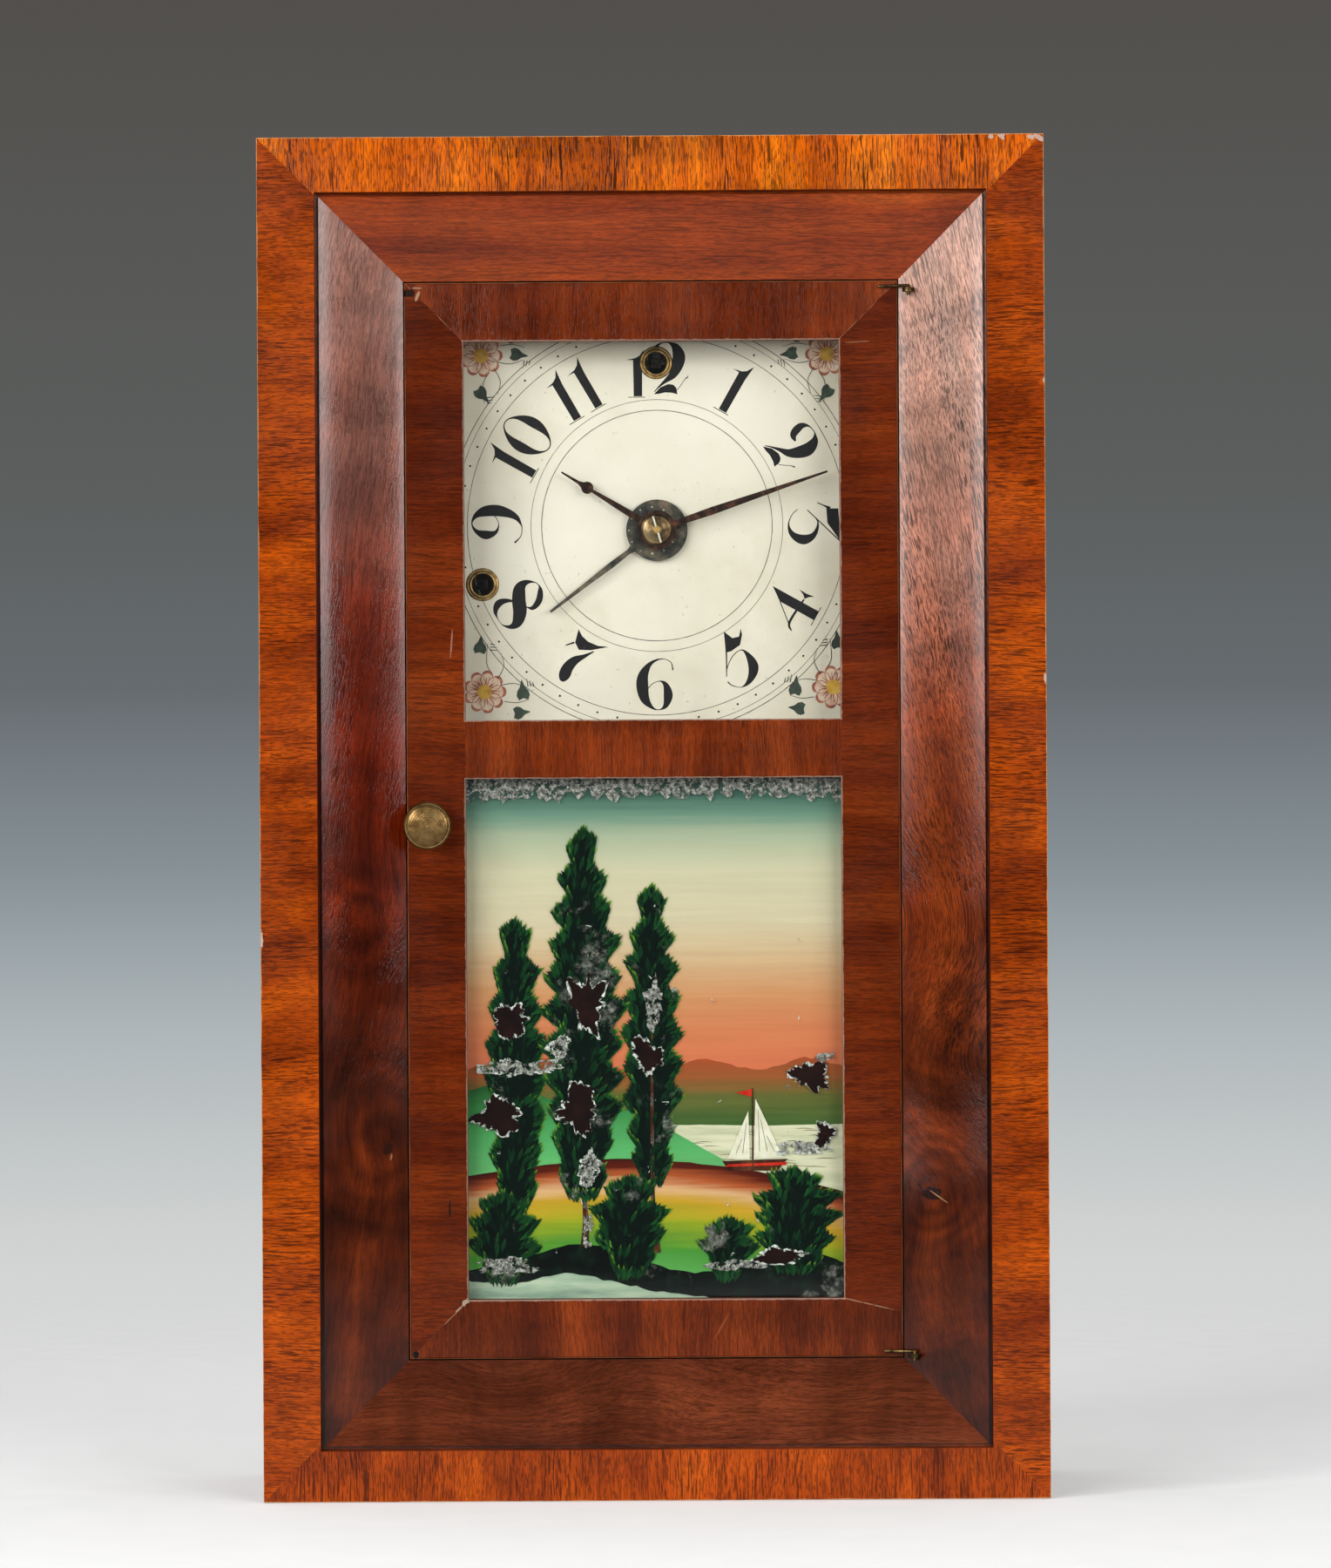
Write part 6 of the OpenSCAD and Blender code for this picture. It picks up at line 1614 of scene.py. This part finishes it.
top_edge = [(-X + i * 2 * X / TOP_STEPS, 214.6 + random.Random(200 + i).uniform(-2.2, 1.8))
            for i in range(TOP_STEPS + 1)]
crackle = [[a, b, (b[0], TABLET_HI), (a[0], TABLET_HI)] for a, b in zip(top_edge, top_edge[1:])]
tablet_sheet("top_crackle", crackle, 4, grey_flake)
print(f"{len(LOSSES)} losses and {len(FLAKES)} grey flakes")

# %% [markdown]
# ## Floor and light
# The clock stands on a pale round floor whose rim fades away, so that it never hides the clock from behind.
# The floor glows a little for the camera alone, like paper lit from below, and casts no light on the clock.
# What the camera sees beyond it is a plain grade from grey to pale. A broad soft light stands high on the
# left. Its mirror image in the moulding's slope adds to the rosy sheen that is painted into the veneer on
# the upper right.

# %% Floor, backdrop and lamps
FLOOR_R, FLOOR_SIDES, FLOOR_Z = 1.2, 96, -0.2 * MM
FADE_FROM, FADE_TO = 0.45, 1.1
FLOOR_GLOW = 0.26
GRADE_REACH = 0.11
GRADE = [(0.0, (238, 238, 238)), (0.22, (208, 210, 209)), (0.34, (176, 184, 187)), (0.45, (134, 144, 149)),
         (0.56, (103, 108, 112)), (0.68, (92, 95, 94)), (1.0, (82, 79, 76))]


def floor_paper():
    """Pale paper that fades away towards its rim."""
    finish = Finish("floor_paper", Roughness=0.9, Emission_Color=(1, 1, 0.98, 1))
    colour = finish.ramp(finish.noise(60, detail=3), [(0.3, screen(228, 228, 228)),
                                                      (0.7, screen(234, 234, 234))])
    glow = finish.take("LightPath", output="Is Camera Ray") * FLOOR_GLOW
    finish.set(Base_Color=colour, Emission_Strength=glow)
    clear = finish.take("BsdfTransparent", {"Color": (1, 1, 1, 1)})
    paper = Signal(finish, finish.shader.outputs[0])
    return finish.surface(finish.range(finish.gap_to((0, 0, 0)), FADE_FROM, FADE_TO), paper, clear)


turns = [math.tau * i / FLOOR_SIDES for i in range(FLOOR_SIDES)]
floor_mesh = bpy.data.meshes.new("floor")
floor_mesh.from_pydata([(FLOOR_R * math.cos(turn), FLOOR_R * math.sin(turn), FLOOR_Z) for turn in turns],
                       [], [list(range(FLOOR_SIDES))])
floor_mesh.materials.append(floor_paper())
floor = bpy.data.objects.new("floor", floor_mesh)
bpy.context.scene.collection.objects.link(floor)


def backdrop():
    """A world that the camera sees as an upright grade, and that lights the clock with a weak, even blue."""
    world = bpy.data.worlds.new("studio")
    bpy.context.scene.world = world
    world.use_nodes = True
    tree = world.node_tree
    tree.nodes.clear()
    way = tree.nodes.new("ShaderNodeTexCoord")
    parts = tree.nodes.new("ShaderNodeSeparateXYZ")
    span = tree.nodes.new("ShaderNodeMapRange")
    span.inputs["From Min"].default_value = -GRADE_REACH
    span.inputs["From Max"].default_value = GRADE_REACH
    grade = tree.nodes.new("ShaderNodeValToRGB")
    fill_ramp(grade, [(at, screen(*tone)) for at, tone in GRADE])
    seen = tree.nodes.new("ShaderNodeBackground")
    lit = tree.nodes.new("ShaderNodeBackground")
    lit.inputs["Color"].default_value = (0.9, 0.95, 1.0, 1)
    lit.inputs["Strength"].default_value = 0.1
    path = tree.nodes.new("ShaderNodeLightPath")
    either = tree.nodes.new("ShaderNodeMixShader")
    out = tree.nodes.new("ShaderNodeOutputWorld")
    for source, socket in ((way.outputs["Generated"], parts.inputs[0]),
                           (parts.outputs[2], span.inputs["Value"]), (span.outputs[0], grade.inputs["Fac"]),
                           (grade.outputs["Color"], seen.inputs["Color"]),
                           (path.outputs["Is Camera Ray"], either.inputs[0]),
                           (lit.outputs[0], either.inputs[1]), (seen.outputs[0], either.inputs[2]),
                           (either.outputs[0], out.inputs["Surface"])):
        tree.links.new(source, socket)


def softbox(name, at, width, height, watts):
    """A soft lamp of this size that points at the clock's middle."""
    data = bpy.data.lights.new(name, "AREA")
    data.shape = "RECTANGLE"
    data.size, data.size_y, data.energy = width, height, watts
    lamp = bpy.data.objects.new(name, data)
    lamp.location = at
    lamp.rotation_euler = (Vector(MIDDLE) - Vector(at)).to_track_quat("-Z", "Y").to_euler()
    bpy.context.scene.collection.objects.link(lamp)


MIDDLE = (0, 0, 0.21)
backdrop()
softbox("key_light", (-1.4, -1.4, 0.98), 0.7, 0.9, 21)
softbox("fill_light", (1.45, -1.45, 1.0), 0.6, 0.8, 8)
softbox("front_left", (-0.9, -2.1, 0.65), 0.8, 0.8, 22)
softbox("front_right", (0.9, -2.1, 0.65), 0.8, 0.8, 20)
softbox("top_light", (0, 0.2, 1.7), 1.2, 1.0, 9)
bpy.context.scene.view_settings.view_transform = "Standard"
print("floor and lamps ready")
